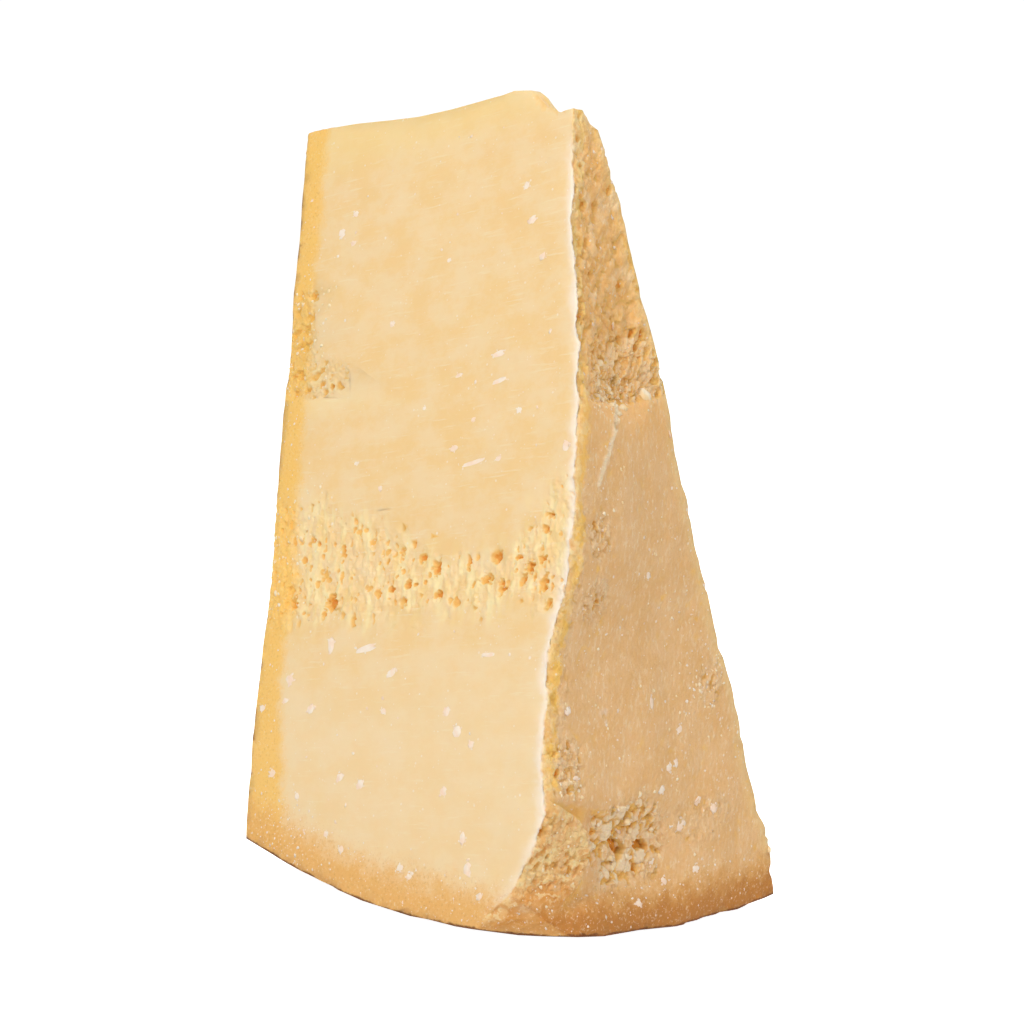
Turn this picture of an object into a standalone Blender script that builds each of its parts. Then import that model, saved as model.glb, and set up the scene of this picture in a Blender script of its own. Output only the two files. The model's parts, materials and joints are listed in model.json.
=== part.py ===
"""Hard cheese wedge: a sector cut from half the height of a large aged wheel.

It stands on its curved rind with the thin tip up, and leans a little towards the wheel's flat face.
Run it with: blender --background --python part.py
"""

import math

import bmesh
import bpy
from mathutils import Matrix, Vector, noise

# The wheel that the piece was cut from, in metres and radians.
WHEEL_RADIUS = 0.215  # at the widest part of the wheel's side
WHEEL_BULGE = 0.0223  # how much smaller the radius is at the wheel's flat face
SECTOR_ANGLE = math.radians(23.7)
HALF_ANGLE = SECTOR_ANGLE / 2
PIECE_WIDTH = 0.105  # along the wheel's axis, from the flat face to the broken face

# How it stands: it leans on the barrel-shaped rind, which is pressed flat where it rests.
LEAN = math.radians(10.0)
FLAT_DEPTH = 0.0021  # how far the lowest stretch of rind is pressed in

# The tip: a thin worn edge, which rises from the flat face, and a broken step beside the broken face.
TIP_START = 0.0010
TIP_WEAR = 0.0048
TIP_WEAR_LENGTH = 0.060
TIP_STEP_DEPTH = 0.0082
TIP_STEP_START = -0.0190
TIP_STEP_END = -0.0040
TIP_BACK_WEAR = 0.0050  # how much further the step's back corner is worn down
TIP_THICKNESS = 0.0014  # extra thickness that the back face keeps at the tip
TIP_THICKNESS_LENGTH = 0.060

# The broken face: it swells along its front edge, has a ledge across it and a hollow low down.
SWELL_HEIGHT = 0.0074
SWELL_START, SWELL_FULL = 0.018, 0.095
SWELL_FALL_START, SWELL_FALL_END = 0.124, 0.153
SWELL_KEPT = 0.27  # share of the swell that is left below its fall
SWELL_ACROSS = 0.75
LOW_SWELL_HEIGHT, LOW_SWELL_RADIUS, LOW_SWELL_SPAN = 0.0021, 0.187, 0.022
LEDGE_HEIGHT = 0.0024
LEDGE_START, LEDGE_FULL = 0.086, 0.091
LEDGE_FADE_START, LEDGE_FADE_END = 0.110, 0.150
LEDGE_FRONT, LEDGE_BACK = 0.15, 0.45
LEDGE_WORN_START, LEDGE_WORN = 0.72, 0.9  # where it starts to be worn down towards the back, and how much
HOLLOW_DEPTH, HOLLOW_RADIUS, HOLLOW_SPAN = 0.0032, 0.197, 0.016
HOLLOW_ACROSS, HOLLOW_ACROSS_SPAN = 0.47, 0.25

# The smooth cut face: a torn band across it, and a crumbled patch beside the flat face.
BAND_DEPTH, BAND_RADIUS, BAND_SPAN, BAND_FADE = 0.0010, 0.121, 0.022, 0.012
PATCH_DEPTH, PATCH_RADIUS, PATCH_SPAN, PATCH_WIDTH = 0.0006, 0.062, 0.020, 0.018

# The back face: a shoulder that ends in a notch, and fuller stretches above its bottom corner.
SHOULDER_HEIGHT = 0.0023
SHOULDER_START, SHOULDER_FULL = 0.010, 0.085
SHOULDER_END_START, SHOULDER_END = 0.089, 0.104
FULLNESS_HEIGHT, FULLNESS_RADIUS, FULLNESS_SPAN = 0.0013, 0.166, 0.018
CORNER_HEIGHT, CORNER_RADIUS, CORNER_SPAN = 0.0022, 0.210, 0.014
BACK_CALM_START, BACK_CALM_END, BACK_CALM = -0.070, -0.010, 0.92

# The flat, rind-covered face: a little fuller towards the rind, and hollow beside the patch.
FLAT_FULL_HEIGHT, FLAT_FULL_RADIUS, FLAT_FULL_SPAN = 0.0019, 0.172, 0.052
FLAT_HOLLOW_DEPTH, FLAT_HOLLOW_RADIUS, FLAT_HOLLOW_SPAN = 0.0004, 0.064, 0.020

# The rind keeps a little lip at the back corner of the broken face.
LIP_HEIGHT, LIP_ACROSS, LIP_ALONG = 0.0030, 0.70, 0.62

# What is gone from the bottom front corner: a sloping chip, and a flat flake along the rind.
CHIP_START = 0.184
CHIP_STEEPNESS = 18.4  # depth for each squared metre below the start
CHIP_DEPTH = 0.0080
CHIP_ACROSS = 0.020
FLAKE_UP_FRONT_EDGE = 0.014
FLAKE_ALONG_RIND = 0.0185
FLAKE_ACROSS_BROKEN_FACE = 0.0155

# Waviness of each face: height and length of the waves.
CUT_WAVE, CUT_WAVE_LENGTH = 0.0004, 0.045
BROKEN_WAVE, BROKEN_WAVE_LENGTH = 0.0010, 0.022
BACK_WAVE, BACK_WAVE_LENGTH = 0.0017, 0.034
RIND_WAVE, RIND_WAVE_LENGTH = 0.0004, 0.030
CALM_FRONT = 0.35  # share across the broken face over which its waves rise
RIPPLE_SHARE, RIPPLE_SCALE = 0.45, 2.3  # the smaller waves on top of the large ones
SPREAD = 0.09  # length that the share across the sector stands for in the waves

# How far each face's shape reaches into the piece, as shares of its width and length.
BROKEN_REACH, FLAT_REACH, RIND_REACH = 0.14, 0.08, 0.07

# The grid of faces along the axis, across the sector and from the tip to the rind.
CELLS_AXIS, CELLS_ACROSS, CELLS_RADIAL = 22, 14, 42
EDGE_ROUNDING = 0.0009
EDGE_LIMIT = math.radians(42)
MERGE_DISTANCE = 0.00005

PASTE_COLOUR = (0.89, 0.66, 0.37, 1.0)
PASTE_ROUGHNESS = 0.55


def smooth_step(value, start, end):
    """0 below start, 1 above end, and a smooth rise between them."""
    share = min(max((value - start) / (end - start), 0.0), 1.0)
    return share * share * (3.0 - 2.0 * share)


def hump(value, centre, span):
    """1 at the centre, falling smoothly to 0 at span on either side."""
    return 1.0 - smooth_step(abs(value - centre), 0.0, span)


def waves(place, length, height, seed):
    """Soft, uneven waves over a surface, with smaller ones on top of them."""
    at = place / length + Vector((seed, 2.7 * seed, -1.3 * seed))
    return height * (noise.noise(at) + RIPPLE_SHARE * noise.noise(at * RIPPLE_SCALE))


def rind_radius(along):
    """Radius of the barrel-shaped side, where along is 0 at the flat face and 1 at the broken one."""
    return WHEEL_RADIUS - WHEEL_BULGE * (1.0 - along) ** 2


def tip_radius(axial):
    """Where the tip's edge lies, measured out from the wheel's axis."""
    worn = TIP_WEAR * smooth_step(axial, -PIECE_WIDTH, -PIECE_WIDTH + TIP_WEAR_LENGTH)
    return TIP_START + worn + TIP_STEP_DEPTH * smooth_step(axial, TIP_STEP_START, TIP_STEP_END)


def chip_depth(across, radius):
    """How deep the broken face is chipped at the bottom front corner."""
    from_front = across * SECTOR_ANGLE * radius
    depth = min(CHIP_STEEPNESS * max(radius - CHIP_START, 0.0) ** 2, CHIP_DEPTH)
    return depth * max(1.0 - from_front / CHIP_ACROSS, 0.0)


def broken_face_height(across, radius):
    """How far the broken face stands out along the axis. across runs from 0 in front to 1 behind."""
    front = 1.0 - smooth_step(across, 0.0, SWELL_ACROSS)
    fall = (1.0 - SWELL_KEPT) * smooth_step(radius, SWELL_FALL_START, SWELL_FALL_END)
    swell = SWELL_HEIGHT * smooth_step(radius, SWELL_START, SWELL_FULL) * (1.0 - fall) * front
    low_swell = LOW_SWELL_HEIGHT * hump(radius, LOW_SWELL_RADIUS, LOW_SWELL_SPAN) * front
    ledge = LEDGE_HEIGHT * smooth_step(radius, LEDGE_START, LEDGE_FULL)
    ledge *= 1.0 - smooth_step(radius, LEDGE_FADE_START, LEDGE_FADE_END)
    ledge *= smooth_step(across, LEDGE_FRONT, LEDGE_BACK)
    ledge *= 1.0 - LEDGE_WORN * smooth_step(across, LEDGE_WORN_START, 1.0)
    hollow = HOLLOW_DEPTH * hump(radius, HOLLOW_RADIUS, HOLLOW_SPAN)
    hollow *= hump(across, HOLLOW_ACROSS, HOLLOW_ACROSS_SPAN)
    rough = waves(Vector((0.0, across * SPREAD, radius)), BROKEN_WAVE_LENGTH, BROKEN_WAVE, 3.1)
    rough *= smooth_step(across, 0.0, CALM_FRONT)
    return swell + low_swell + ledge - hollow - chip_depth(across, radius) + rough


def cut_face_height(axial, radius):
    """How far the smooth cut face stands out along its normal."""
    band = BAND_DEPTH * hump(radius, BAND_RADIUS, BAND_SPAN)
    band *= smooth_step(axial, -PIECE_WIDTH, -PIECE_WIDTH + BAND_FADE)
    patch = PATCH_DEPTH * hump(radius, PATCH_RADIUS, PATCH_SPAN) * hump(axial, -PIECE_WIDTH, PATCH_WIDTH)
    return waves(Vector((axial, 0.0, radius)), CUT_WAVE_LENGTH, CUT_WAVE, 7.9) - band - patch


def back_face_height(axial, radius):
    """How far the broken back face stands out along its normal."""
    near_broken_face = smooth_step(axial, BACK_CALM_START, BACK_CALM_END)
    shoulder = SHOULDER_HEIGHT * smooth_step(radius, SHOULDER_START, SHOULDER_FULL)
    shoulder *= 1.0 - smooth_step(radius, SHOULDER_END_START, SHOULDER_END)
    fullness = FULLNESS_HEIGHT * hump(radius, FULLNESS_RADIUS, FULLNESS_SPAN)
    corner = CORNER_HEIGHT * hump(radius, CORNER_RADIUS, CORNER_SPAN)
    tip = TIP_THICKNESS * (1.0 - smooth_step(radius, 0.0, TIP_THICKNESS_LENGTH))
    rough = waves(Vector((axial, 0.3, radius)), BACK_WAVE_LENGTH, BACK_WAVE, 11.3)
    rough *= (1.0 - BACK_CALM * near_broken_face) * smooth_step(radius, 0.0, TIP_THICKNESS_LENGTH)
    return shoulder + (fullness + corner) * near_broken_face + tip + rough


def flat_face_height(across, radius):
    """How far the wheel's flat, rind-covered face stands out along the axis."""
    full = FLAT_FULL_HEIGHT * hump(radius, FLAT_FULL_RADIUS, FLAT_FULL_SPAN)
    hollow = FLAT_HOLLOW_DEPTH * hump(radius, FLAT_HOLLOW_RADIUS, FLAT_HOLLOW_SPAN) * (1.0 - across)
    return full - hollow + waves(Vector((0.9, across * SPREAD, radius)), RIND_WAVE_LENGTH, RIND_WAVE, 5.3)


def rind_height(along, across):
    """How far the rind-covered side stands out, away from the wheel's axis."""
    lip = LIP_HEIGHT * smooth_step(across, LIP_ACROSS, 1.0) * smooth_step(along, LIP_ALONG, 1.0)
    return lip + waves(Vector((along * SPREAD, across * SPREAD, 0.5)), RIND_WAVE_LENGTH, RIND_WAVE, 1.7)


def sector_point(axial, inward, radius):
    """A point at this radius, a distance inward from the cut face along the arc, about the wheel's axis."""
    angle = HALF_ANGLE - inward / radius
    return Vector((axial, -radius * math.sin(angle), -radius * math.cos(angle)))


def wedge_point(along, across, outward):
    """Maps a point of the unit cube to the wedge, about the wheel's axis.

    along runs from the flat face to the broken face, across from the cut face to the back face, and
    outward from the tip to the rind.
    """
    axial = (along - 1.0) * PIECE_WIDTH
    start = tip_radius(axial) + TIP_BACK_WEAR * across * smooth_step(axial, TIP_STEP_START, TIP_STEP_END)
    radius = start + outward * (rind_radius(along) - start)
    angle = (2.0 * across - 1.0) * HALF_ANGLE
    place = Vector((axial, radius * math.sin(angle), -radius * math.cos(angle)))

    place.x += broken_face_height(across, radius) * smooth_step(along, 1.0 - BROKEN_REACH, 1.0)
    place.x -= flat_face_height(across, radius) * (1.0 - smooth_step(along, 0.0, FLAT_REACH))
    cut_normal = Vector((0.0, -math.cos(HALF_ANGLE), math.sin(HALF_ANGLE)))
    back_normal = Vector((0.0, math.cos(HALF_ANGLE), math.sin(HALF_ANGLE)))
    place += cut_normal * cut_face_height(axial, radius) * (1.0 - across) ** 2
    place += back_normal * back_face_height(axial, radius) * across**2
    place.z -= rind_height(along, across) * smooth_step(outward, 1.0 - RIND_REACH, 1.0)
    return place


def gridded_cube(bm):
    """Adds a unit cube from 0 to 1 whose sides are cut into the grid of cells."""
    bmesh.ops.create_cube(bm, size=1.0, matrix=Matrix.Translation((0.5, 0.5, 0.5)))
    for axis, cells in enumerate((CELLS_AXIS, CELLS_ACROSS, CELLS_RADIAL)):
        parallel = [e for e in bm.edges if abs((e.verts[0].co - e.verts[1].co)[axis]) > 0.5]
        bmesh.ops.subdivide_edges(bm, edges=parallel, cuts=cells - 1, use_grid_fill=True)


def break_flake(bm):
    """Cuts the flat flake off the bottom front corner and closes the cut."""
    up_edge = sector_point(0.0, 0.0, WHEEL_RADIUS - FLAKE_UP_FRONT_EDGE)
    along_rind = sector_point(-FLAKE_ALONG_RIND, 0.0, WHEEL_RADIUS)
    across_face = sector_point(0.0, FLAKE_ACROSS_BROKEN_FACE, WHEEL_RADIUS)
    normal = (along_rind - up_edge).cross(across_face - up_edge).normalized()
    if normal.dot(sector_point(0.0, 0.0, WHEEL_RADIUS) - up_edge) < 0.0:
        normal.negate()
    cut = bmesh.ops.bisect_plane(
        bm,
        geom=bm.verts[:] + bm.edges[:] + bm.faces[:],
        dist=MERGE_DISTANCE,
        plane_co=up_edge,
        plane_no=normal,
        clear_outer=True,
    )
    rim = [item for item in cut["geom_cut"] if isinstance(item, bmesh.types.BMEdge)]
    bmesh.ops.contextual_create(bm, geom=rim)


def stand_up(bm):
    """Leans the wedge on its rind, presses the lowest rind flat, and puts the origin under its middle."""
    bmesh.ops.rotate(bm, verts=bm.verts, cent=(0, 0, 0), matrix=Matrix.Rotation(-LEAN, 3, "Y"))
    floor = min(v.co.z for v in bm.verts) + FLAT_DEPTH
    for v in bm.verts:
        v.co.z = max(v.co.z, floor)
    low = Vector(min(v.co[i] for v in bm.verts) for i in range(3))
    high = Vector(max(v.co[i] for v in bm.verts) for i in range(3))
    middle = (low + high) / 2
    bmesh.ops.translate(bm, verts=bm.verts, vec=(-middle.x, -middle.y, -low.z))


def paste_material():
    """The pale straw colour of the cheese."""
    material = bpy.data.materials.new("hard_cheese")
    material.use_nodes = True
    shader = material.node_tree.nodes["Principled BSDF"]
    shader.inputs["Base Color"].default_value = PASTE_COLOUR
    shader.inputs["Roughness"].default_value = PASTE_ROUGHNESS
    shader.inputs["Metallic"].default_value = 0.0
    return material


def build_wedge(collection):
    """Makes the whole wedge, one solid."""
    bm = bmesh.new()
    gridded_cube(bm)
    for v in bm.verts:
        v.co = wedge_point(*v.co)
    break_flake(bm)
    stand_up(bm)
    bmesh.ops.recalc_face_normals(bm, faces=bm.faces)
    mesh = bpy.data.meshes.new("cheese_wedge")
    bm.to_mesh(mesh)
    bm.free()
    wedge = bpy.data.objects.new("cheese_wedge", mesh)
    collection.objects.link(wedge)
    wedge.data.materials.append(paste_material())

    rounding = wedge.modifiers.new("rounded_edges", "BEVEL")
    rounding.width = EDGE_ROUNDING
    rounding.segments = 2
    rounding.limit_method = "ANGLE"
    rounding.angle_limit = EDGE_LIMIT
    return wedge


def main():
    """Clears the scene and builds the wedge in its own collection."""
    for obj in list(bpy.data.objects):
        bpy.data.objects.remove(obj)
    collection = bpy.data.collections.new("hard_cheese_wedge")
    bpy.context.scene.collection.children.link(collection)
    wedge = build_wedge(collection)
    wedge.data.shade_smooth()
    wedge.data.set_sharp_from_angle(angle=EDGE_LIMIT)


main()
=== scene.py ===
"""The looks of a tall wedge of aged hard cheese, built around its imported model.

The wedge is a sector of a large wheel, and stands on the wheel's curved rind with its thin tip up. Its front
is smooth where the wire cut it, apart from a torn band; its end and back are broken, crumbly faces.
"""

import json
import logging
import math
from copy import copy
from dataclasses import dataclass, field
from enum import Enum
from itertools import product

import bpy
import numpy as np
from mathutils import Matrix, Vector
from mathutils.bvhtree import BVHTree

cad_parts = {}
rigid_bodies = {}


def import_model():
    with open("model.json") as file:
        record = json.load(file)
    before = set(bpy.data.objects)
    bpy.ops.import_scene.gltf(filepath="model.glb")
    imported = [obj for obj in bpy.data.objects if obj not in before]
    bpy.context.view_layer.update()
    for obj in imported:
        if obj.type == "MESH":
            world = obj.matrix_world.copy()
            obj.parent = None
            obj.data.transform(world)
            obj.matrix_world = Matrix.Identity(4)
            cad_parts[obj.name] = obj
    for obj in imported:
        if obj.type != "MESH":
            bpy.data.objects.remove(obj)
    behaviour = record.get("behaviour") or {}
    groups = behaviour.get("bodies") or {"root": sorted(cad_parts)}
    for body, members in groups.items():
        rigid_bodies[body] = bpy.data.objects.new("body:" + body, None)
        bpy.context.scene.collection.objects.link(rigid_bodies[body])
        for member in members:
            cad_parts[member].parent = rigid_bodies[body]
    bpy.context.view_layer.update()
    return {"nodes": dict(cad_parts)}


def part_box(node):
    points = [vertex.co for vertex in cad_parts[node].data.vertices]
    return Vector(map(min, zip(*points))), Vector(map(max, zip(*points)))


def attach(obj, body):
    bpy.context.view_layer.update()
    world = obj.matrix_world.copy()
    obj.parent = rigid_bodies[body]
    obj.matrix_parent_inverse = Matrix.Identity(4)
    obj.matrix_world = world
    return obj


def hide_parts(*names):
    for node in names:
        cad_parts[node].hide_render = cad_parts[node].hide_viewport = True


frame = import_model()

LOG = logging.getLogger("cheese")
NODE = "cheese_wedge"
BODY = "root"
MM = 0.001
RAY_START, RAY_REACH = 0.03, 0.06  # how far outside a face a ray starts, and how far it goes, in metres
Socket = bpy.types.NodeSocket


def smooth_step(value: np.ndarray, low: float, high: float) -> np.ndarray:
    """Rises smoothly from 0 at low to 1 at high.

    Args:
        value: the numbers to judge.
        low: where the rise starts.
        high: where it ends, which may be below low.

    Returns:
        The share at each value, from 0 to 1.
    """
    share = np.clip((value - low) / (high - low), 0.0, 1.0)
    return share * share * (3.0 - 2.0 * share)


def hump(value: np.ndarray, centre: float, span: float) -> np.ndarray:
    """1 at the centre, falling smoothly to 0 at span on either side."""
    return 1.0 - smooth_step(np.abs(value - centre), 0.0, span)


def linear(red: int, green: int, blue: int) -> tuple[float, float, float, float]:
    """Turns a screen colour, 0 to 255 each, into the light that it stands for."""
    shares = [channel / 255.0 for channel in (red, green, blue)]
    light = [s / 12.92 if s <= 0.04045 else ((s + 0.055) / 1.055) ** 2.4 for s in shares]
    return (light[0], light[1], light[2], 1.0)


@dataclass
class Cells:
    """The cell that each point is in, measured in cells."""

    nearest: np.ndarray
    second: np.ndarray
    pick: np.ndarray
    lean: np.ndarray
    off: np.ndarray


class Lattice:
    """Seeded noise on arrays of points, smooth or in cells."""

    SIZE = 256

    def __init__(self, seed: int) -> None:
        """Draws the lattice's slopes, spots and picks."""
        draw = np.random.default_rng(seed)
        self.order = draw.permutation(self.SIZE)
        slopes = draw.normal(size=(self.SIZE, 3))
        self.slopes = slopes / np.linalg.norm(slopes, axis=1, keepdims=True)
        self.spots = draw.random((self.SIZE, 3))
        self.picks = draw.random(self.SIZE)

    def _key(self, cell: np.ndarray) -> np.ndarray:
        """The lattice entry that belongs to each whole-numbered cell."""
        key = self.order[cell[:, 0] % self.SIZE]
        for column in cell.T[1:]:
            key = self.order[(key + column) % self.SIZE]
        return key

    def smooth(self, points: np.ndarray) -> np.ndarray:
        """Smooth noise, about -0.7 to 0.7, with bumps about one unit across."""
        base = np.floor(points).astype(np.int64)
        part = points - base
        ease = part**3 * (part * (part * 6.0 - 15.0) + 10.0)
        total = np.zeros(len(points))
        dims = points.shape[1]
        for corner in product((0, 1), repeat=dims):
            step = np.array(corner)
            slope = self.slopes[self._key(base + step), :dims]
            weight = np.where(step == 1, ease, 1.0 - ease).prod(axis=1)
            total += weight * (slope * (part - step)).sum(axis=1)
        return total

    def layers(self, points: np.ndarray, count: int = 3, gain: float = 0.5) -> np.ndarray:
        """Smooth noise with smaller and weaker noise on top.

        Args:
            points: the places, in units of the largest bumps.
            count: how many layers there are.
            gain: each layer's strength over the one before.

        Returns:
            The sum at each point.
        """
        total = np.zeros(len(points))
        for layer in range(count):
            total += gain**layer * self.smooth(points * 2.03**layer + 7.7 * layer)
        return total

    def cells(self, points: np.ndarray) -> "Cells":
        """Splits space into uneven cells, one unit across.

        Args:
            points: the places, in cells.

        Returns:
            What is known about the cell that each point is in.
        """
        base = np.floor(points).astype(np.int64)
        dims = points.shape[1]
        count = len(points)
        far, none = np.full(count, 9.0), np.zeros(count)
        found = Cells(far, far.copy(), none, none.copy(), np.zeros((count, dims)))
        for corner in product((-1, 0, 1), repeat=dims):
            cell = base + np.array(corner)
            key = self._key(cell)
            off = points - cell - self.spots[key, :dims]
            reach = np.linalg.norm(off, axis=1)
            closer = reach < found.nearest
            found.second = np.where(closer, found.nearest, np.minimum(found.second, reach))
            found.pick = np.where(closer, self.picks[key], found.pick)
            found.lean = np.where(closer, (off * self.slopes[key, :dims]).sum(axis=1), found.lean)
            found.off = np.where(closer[:, None], off, found.off)
            found.nearest = np.where(closer, reach, found.nearest)
        return found


class Face(Enum):
    """The wedge's five faces, as directions about the wheel's axis."""

    CUT = "cut"
    BACK = "back"
    BROKEN = "broken"
    FLAT = "flat"
    RIND = "rind"


@dataclass(frozen=True)
class Wheel:
    """The wheel that the wedge came from: where its axis lies, and how the wedge leans."""

    axis_point: tuple[float, float, float] = (0.03221, -0.00084, 0.21323)
    lean: float = math.radians(10.0)
    half_angle: float = math.radians(23.7 / 2)

    rim_radius: float = 215.0
    rim_bulge: float = 22.3
    width: float = 105.0

    def rind_radius(self, axial: float) -> float:
        """How far the rind is from the axis, in millimetres, at a place along the axis."""
        return self.rim_radius - self.rim_bulge * (axial / self.width) ** 2

    def _spoke(self, face: Face, across: float, radius: float) -> tuple[Vector, Vector]:
        """A point on an ideal face and the direction from it to the tip, in the wheel's frame."""
        angle = {Face.CUT: -self.half_angle, Face.BACK: self.half_angle}.get(face)
        axial = across
        if angle is None:
            angle, axial = across / radius - self.half_angle, 0.0
        inward = Vector((0.0, -math.sin(angle), math.cos(angle)))
        return Vector((axial * MM, 0.0, 0.0)) - inward * radius * MM, inward

    def face_outward(self, face: Face) -> Vector:
        """The outward direction of a flat face in the model's frame."""
        return Matrix.Rotation(-self.lean, 3, "Y") @ Vector(self.direction(face, np.zeros((1, 3)))[0])

    def outside(self, face: Face, across: float, radius: float) -> tuple[Vector, Vector]:
        """A point well outside a face, and the face's outward direction, in the model's frame.

        Args:
            face: the cut, the back or the broken face.
            across: millimetres along the axis, or on the broken face inwards from the cut face.
            radius: millimetres from the axis.

        Returns:
            The point, and the direction.
        """
        lean = Matrix.Rotation(-self.lean, 3, "Y")
        point, _ = self._spoke(face, across, radius)
        outward = self.face_outward(face)
        return Vector(self.axis_point) + lean @ point + outward * RAY_START, outward

    def towards_tip(self, face: Face, across: float, radius: float) -> Vector:
        """The direction along a face towards the wheel's axis, in the model's frame."""
        return Matrix.Rotation(-self.lean, 3, "Y") @ self._spoke(face, across, radius)[1]

    def turned(self, vectors: np.ndarray) -> np.ndarray:
        """Turns directions from the model's frame into the wheel's, with the wheel's axis along X."""
        turn = np.array(Matrix.Rotation(self.lean, 3, "Y"))
        return vectors @ turn.T

    def direction(self, face: Face, turned: np.ndarray) -> np.ndarray:
        """The outward direction of a face at each point, in the wheel's frame."""
        sine, cosine = math.sin(self.half_angle), math.cos(self.half_angle)
        fixed = {
            Face.CUT: (0.0, -cosine, sine),
            Face.BACK: (0.0, cosine, sine),
            Face.BROKEN: (1.0, 0.0, 0.0),
            Face.FLAT: (-1.0, 0.0, 0.0),
        }
        if face in fixed:
            return np.tile(fixed[face], (len(turned), 1))
        outward = turned * np.array([0.0, 1.0, 1.0])
        return outward / np.maximum(np.linalg.norm(outward, axis=1, keepdims=True), 1e-9)


class Places:
    """Where each point of the surface lies on the wheel, in millimetres, and which faces it belongs to."""

    def __init__(self, wheel: Wheel, points: np.ndarray, normals: np.ndarray) -> None:
        """Works out the wheel's coordinates.

        Args:
            wheel: the wheel that the wedge came from.
            points: the surface's points in the model's frame, in metres.
            normals: the surface's outward directions there.
        """
        turned = wheel.turned(points - np.array(wheel.axis_point)) / MM
        facing = wheel.turned(normals)
        self.axial = turned[:, 0]
        self.radius = np.hypot(turned[:, 1], turned[:, 2])
        angle = np.arctan2(turned[:, 1], -turned[:, 2]) + wheel.half_angle
        self.inward = angle * self.radius
        self.to_back = (2.0 * wheel.half_angle - angle) * self.radius
        self.solid = np.column_stack([self.axial, self.inward, self.radius])
        self.facing = {
            face: (facing * wheel.direction(face, turned)).sum(axis=1) for face in Face
        }

    def subset(self, chosen: np.ndarray) -> "Places":
        """The same about only the chosen points."""
        part = copy(self)
        for name in ("axial", "radius", "inward", "to_back"):
            setattr(part, name, getattr(self, name)[chosen])
        part.solid = self.solid[chosen]
        part.facing = {face: facing[chosen] for face, facing in self.facing.items()}
        return part

    def share(self, face: Face, low: float = 0.45, high: float = 0.8) -> np.ndarray:
        """How far each point belongs to a face, from 0 to 1, judged by its direction."""
        return smooth_step(self.facing[face], low, high)

    def flat_points(self, across: np.ndarray, width: float, length: float) -> np.ndarray:
        """Points for a pattern on a face, in units of width across it and of length from tip to rind."""
        return np.column_stack([across / width, self.radius / length])


def faces_of(mesh: bpy.types.Mesh, wheel: Wheel) -> dict[Face, BVHTree]:
    """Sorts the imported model's triangles by face, for measuring distances to each face.

    Args:
        mesh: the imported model's mesh.
        wheel: the wheel that it came from.

    Returns:
        A search tree of triangles for each face.
    """
    points = np.array([v.co for v in mesh.vertices])
    corners = np.array([p.vertices[:] for p in mesh.polygons])
    normals = np.array([p.normal for p in mesh.polygons])
    middles = points[corners].mean(axis=1)
    places = Places(wheel, middles, normals)
    best = np.argmax([places.facing[face] for face in Face], axis=0)
    rim = np.array([wheel.rind_radius(axial) for axial in places.axial])
    inside = (best == list(Face).index(Face.RIND)) & (places.radius < rim - 0.4)
    best[inside] = list(Face).index(Face.BROKEN)
    shared = [Vector(p) for p in points]
    return {
        face: BVHTree.FromPolygons(shared, [tuple(c) for c in corners[best == index].tolist()])
        for index, face in enumerate(Face)
    }


def distances(tree: BVHTree, points: np.ndarray) -> np.ndarray:
    """The distance from each point to a face, in millimetres."""
    return np.array([tree.find_nearest(p)[3] for p in points.tolist()]) / MM


def read_vertices(mesh: bpy.types.Mesh, name: str) -> np.ndarray:
    """All the vertices' places ("co") or directions ("normal") as an array."""
    source = mesh.vertices if name == "co" else mesh.vertex_normals
    flat = np.empty(len(source) * 3, dtype=np.float32)
    source.foreach_get("co" if name == "co" else "vector", flat)
    return flat.reshape(-1, 3).astype(float)


def write_attribute(mesh: bpy.types.Mesh, name: str, values: np.ndarray) -> None:
    """Stores a number, or three, at each vertex for the materials to read."""
    vector = values.ndim == 2
    kind = "FLOAT_VECTOR" if vector else "FLOAT"
    made = mesh.attributes.new(name, kind, "POINT")
    made.data.foreach_set("vector" if vector else "value", values.astype(np.float32).ravel())


def read_attribute(mesh: bpy.types.Mesh, name: str) -> np.ndarray:
    """The numbers stored at the vertices."""
    values = np.empty(len(mesh.vertices), dtype=np.float32)
    mesh.attributes[name].data.foreach_get("value", values)
    return values


def averaged(mesh: bpy.types.Mesh, values: np.ndarray, rounds: int) -> np.ndarray:
    """Averages values over the neighbours along the mesh's edges.

    Args:
        mesh: the mesh.
        values: a number for each vertex.
        rounds: how many times it is done, which sets how far the values spread.

    Returns:
        The softened values.
    """
    ends = np.empty(len(mesh.edges) * 2, dtype=np.int32)
    mesh.edges.foreach_get("vertices", ends)
    first, second = ends.reshape(-1, 2).T
    count = len(values)
    degree = np.maximum(np.bincount(first, minlength=count) + np.bincount(second, minlength=count), 1)
    for _ in range(rounds):
        total = np.bincount(first, values[second], count) + np.bincount(second, values[first], count)
        values = 0.5 * (values + total / degree)
    return values


def only(obj: bpy.types.Object) -> None:
    """Makes this the one selected and active object."""
    bpy.ops.object.select_all(action="DESELECT")
    obj.select_set(True)
    bpy.context.view_layer.objects.active = obj


def apply_modifier(obj: bpy.types.Object, kind: str, **settings: object) -> None:
    """Adds a modifier with these settings and applies it.

    Args:
        obj: the object to change.
        kind: the modifier's type, such as "REMESH".
        **settings: the modifier's values.
    """
    modifier = obj.modifiers.new(kind.lower(), kind)
    for name, value in settings.items():
        setattr(modifier, name, value)
    only(obj)
    bpy.ops.object.modifier_apply(modifier=modifier.name)


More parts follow.
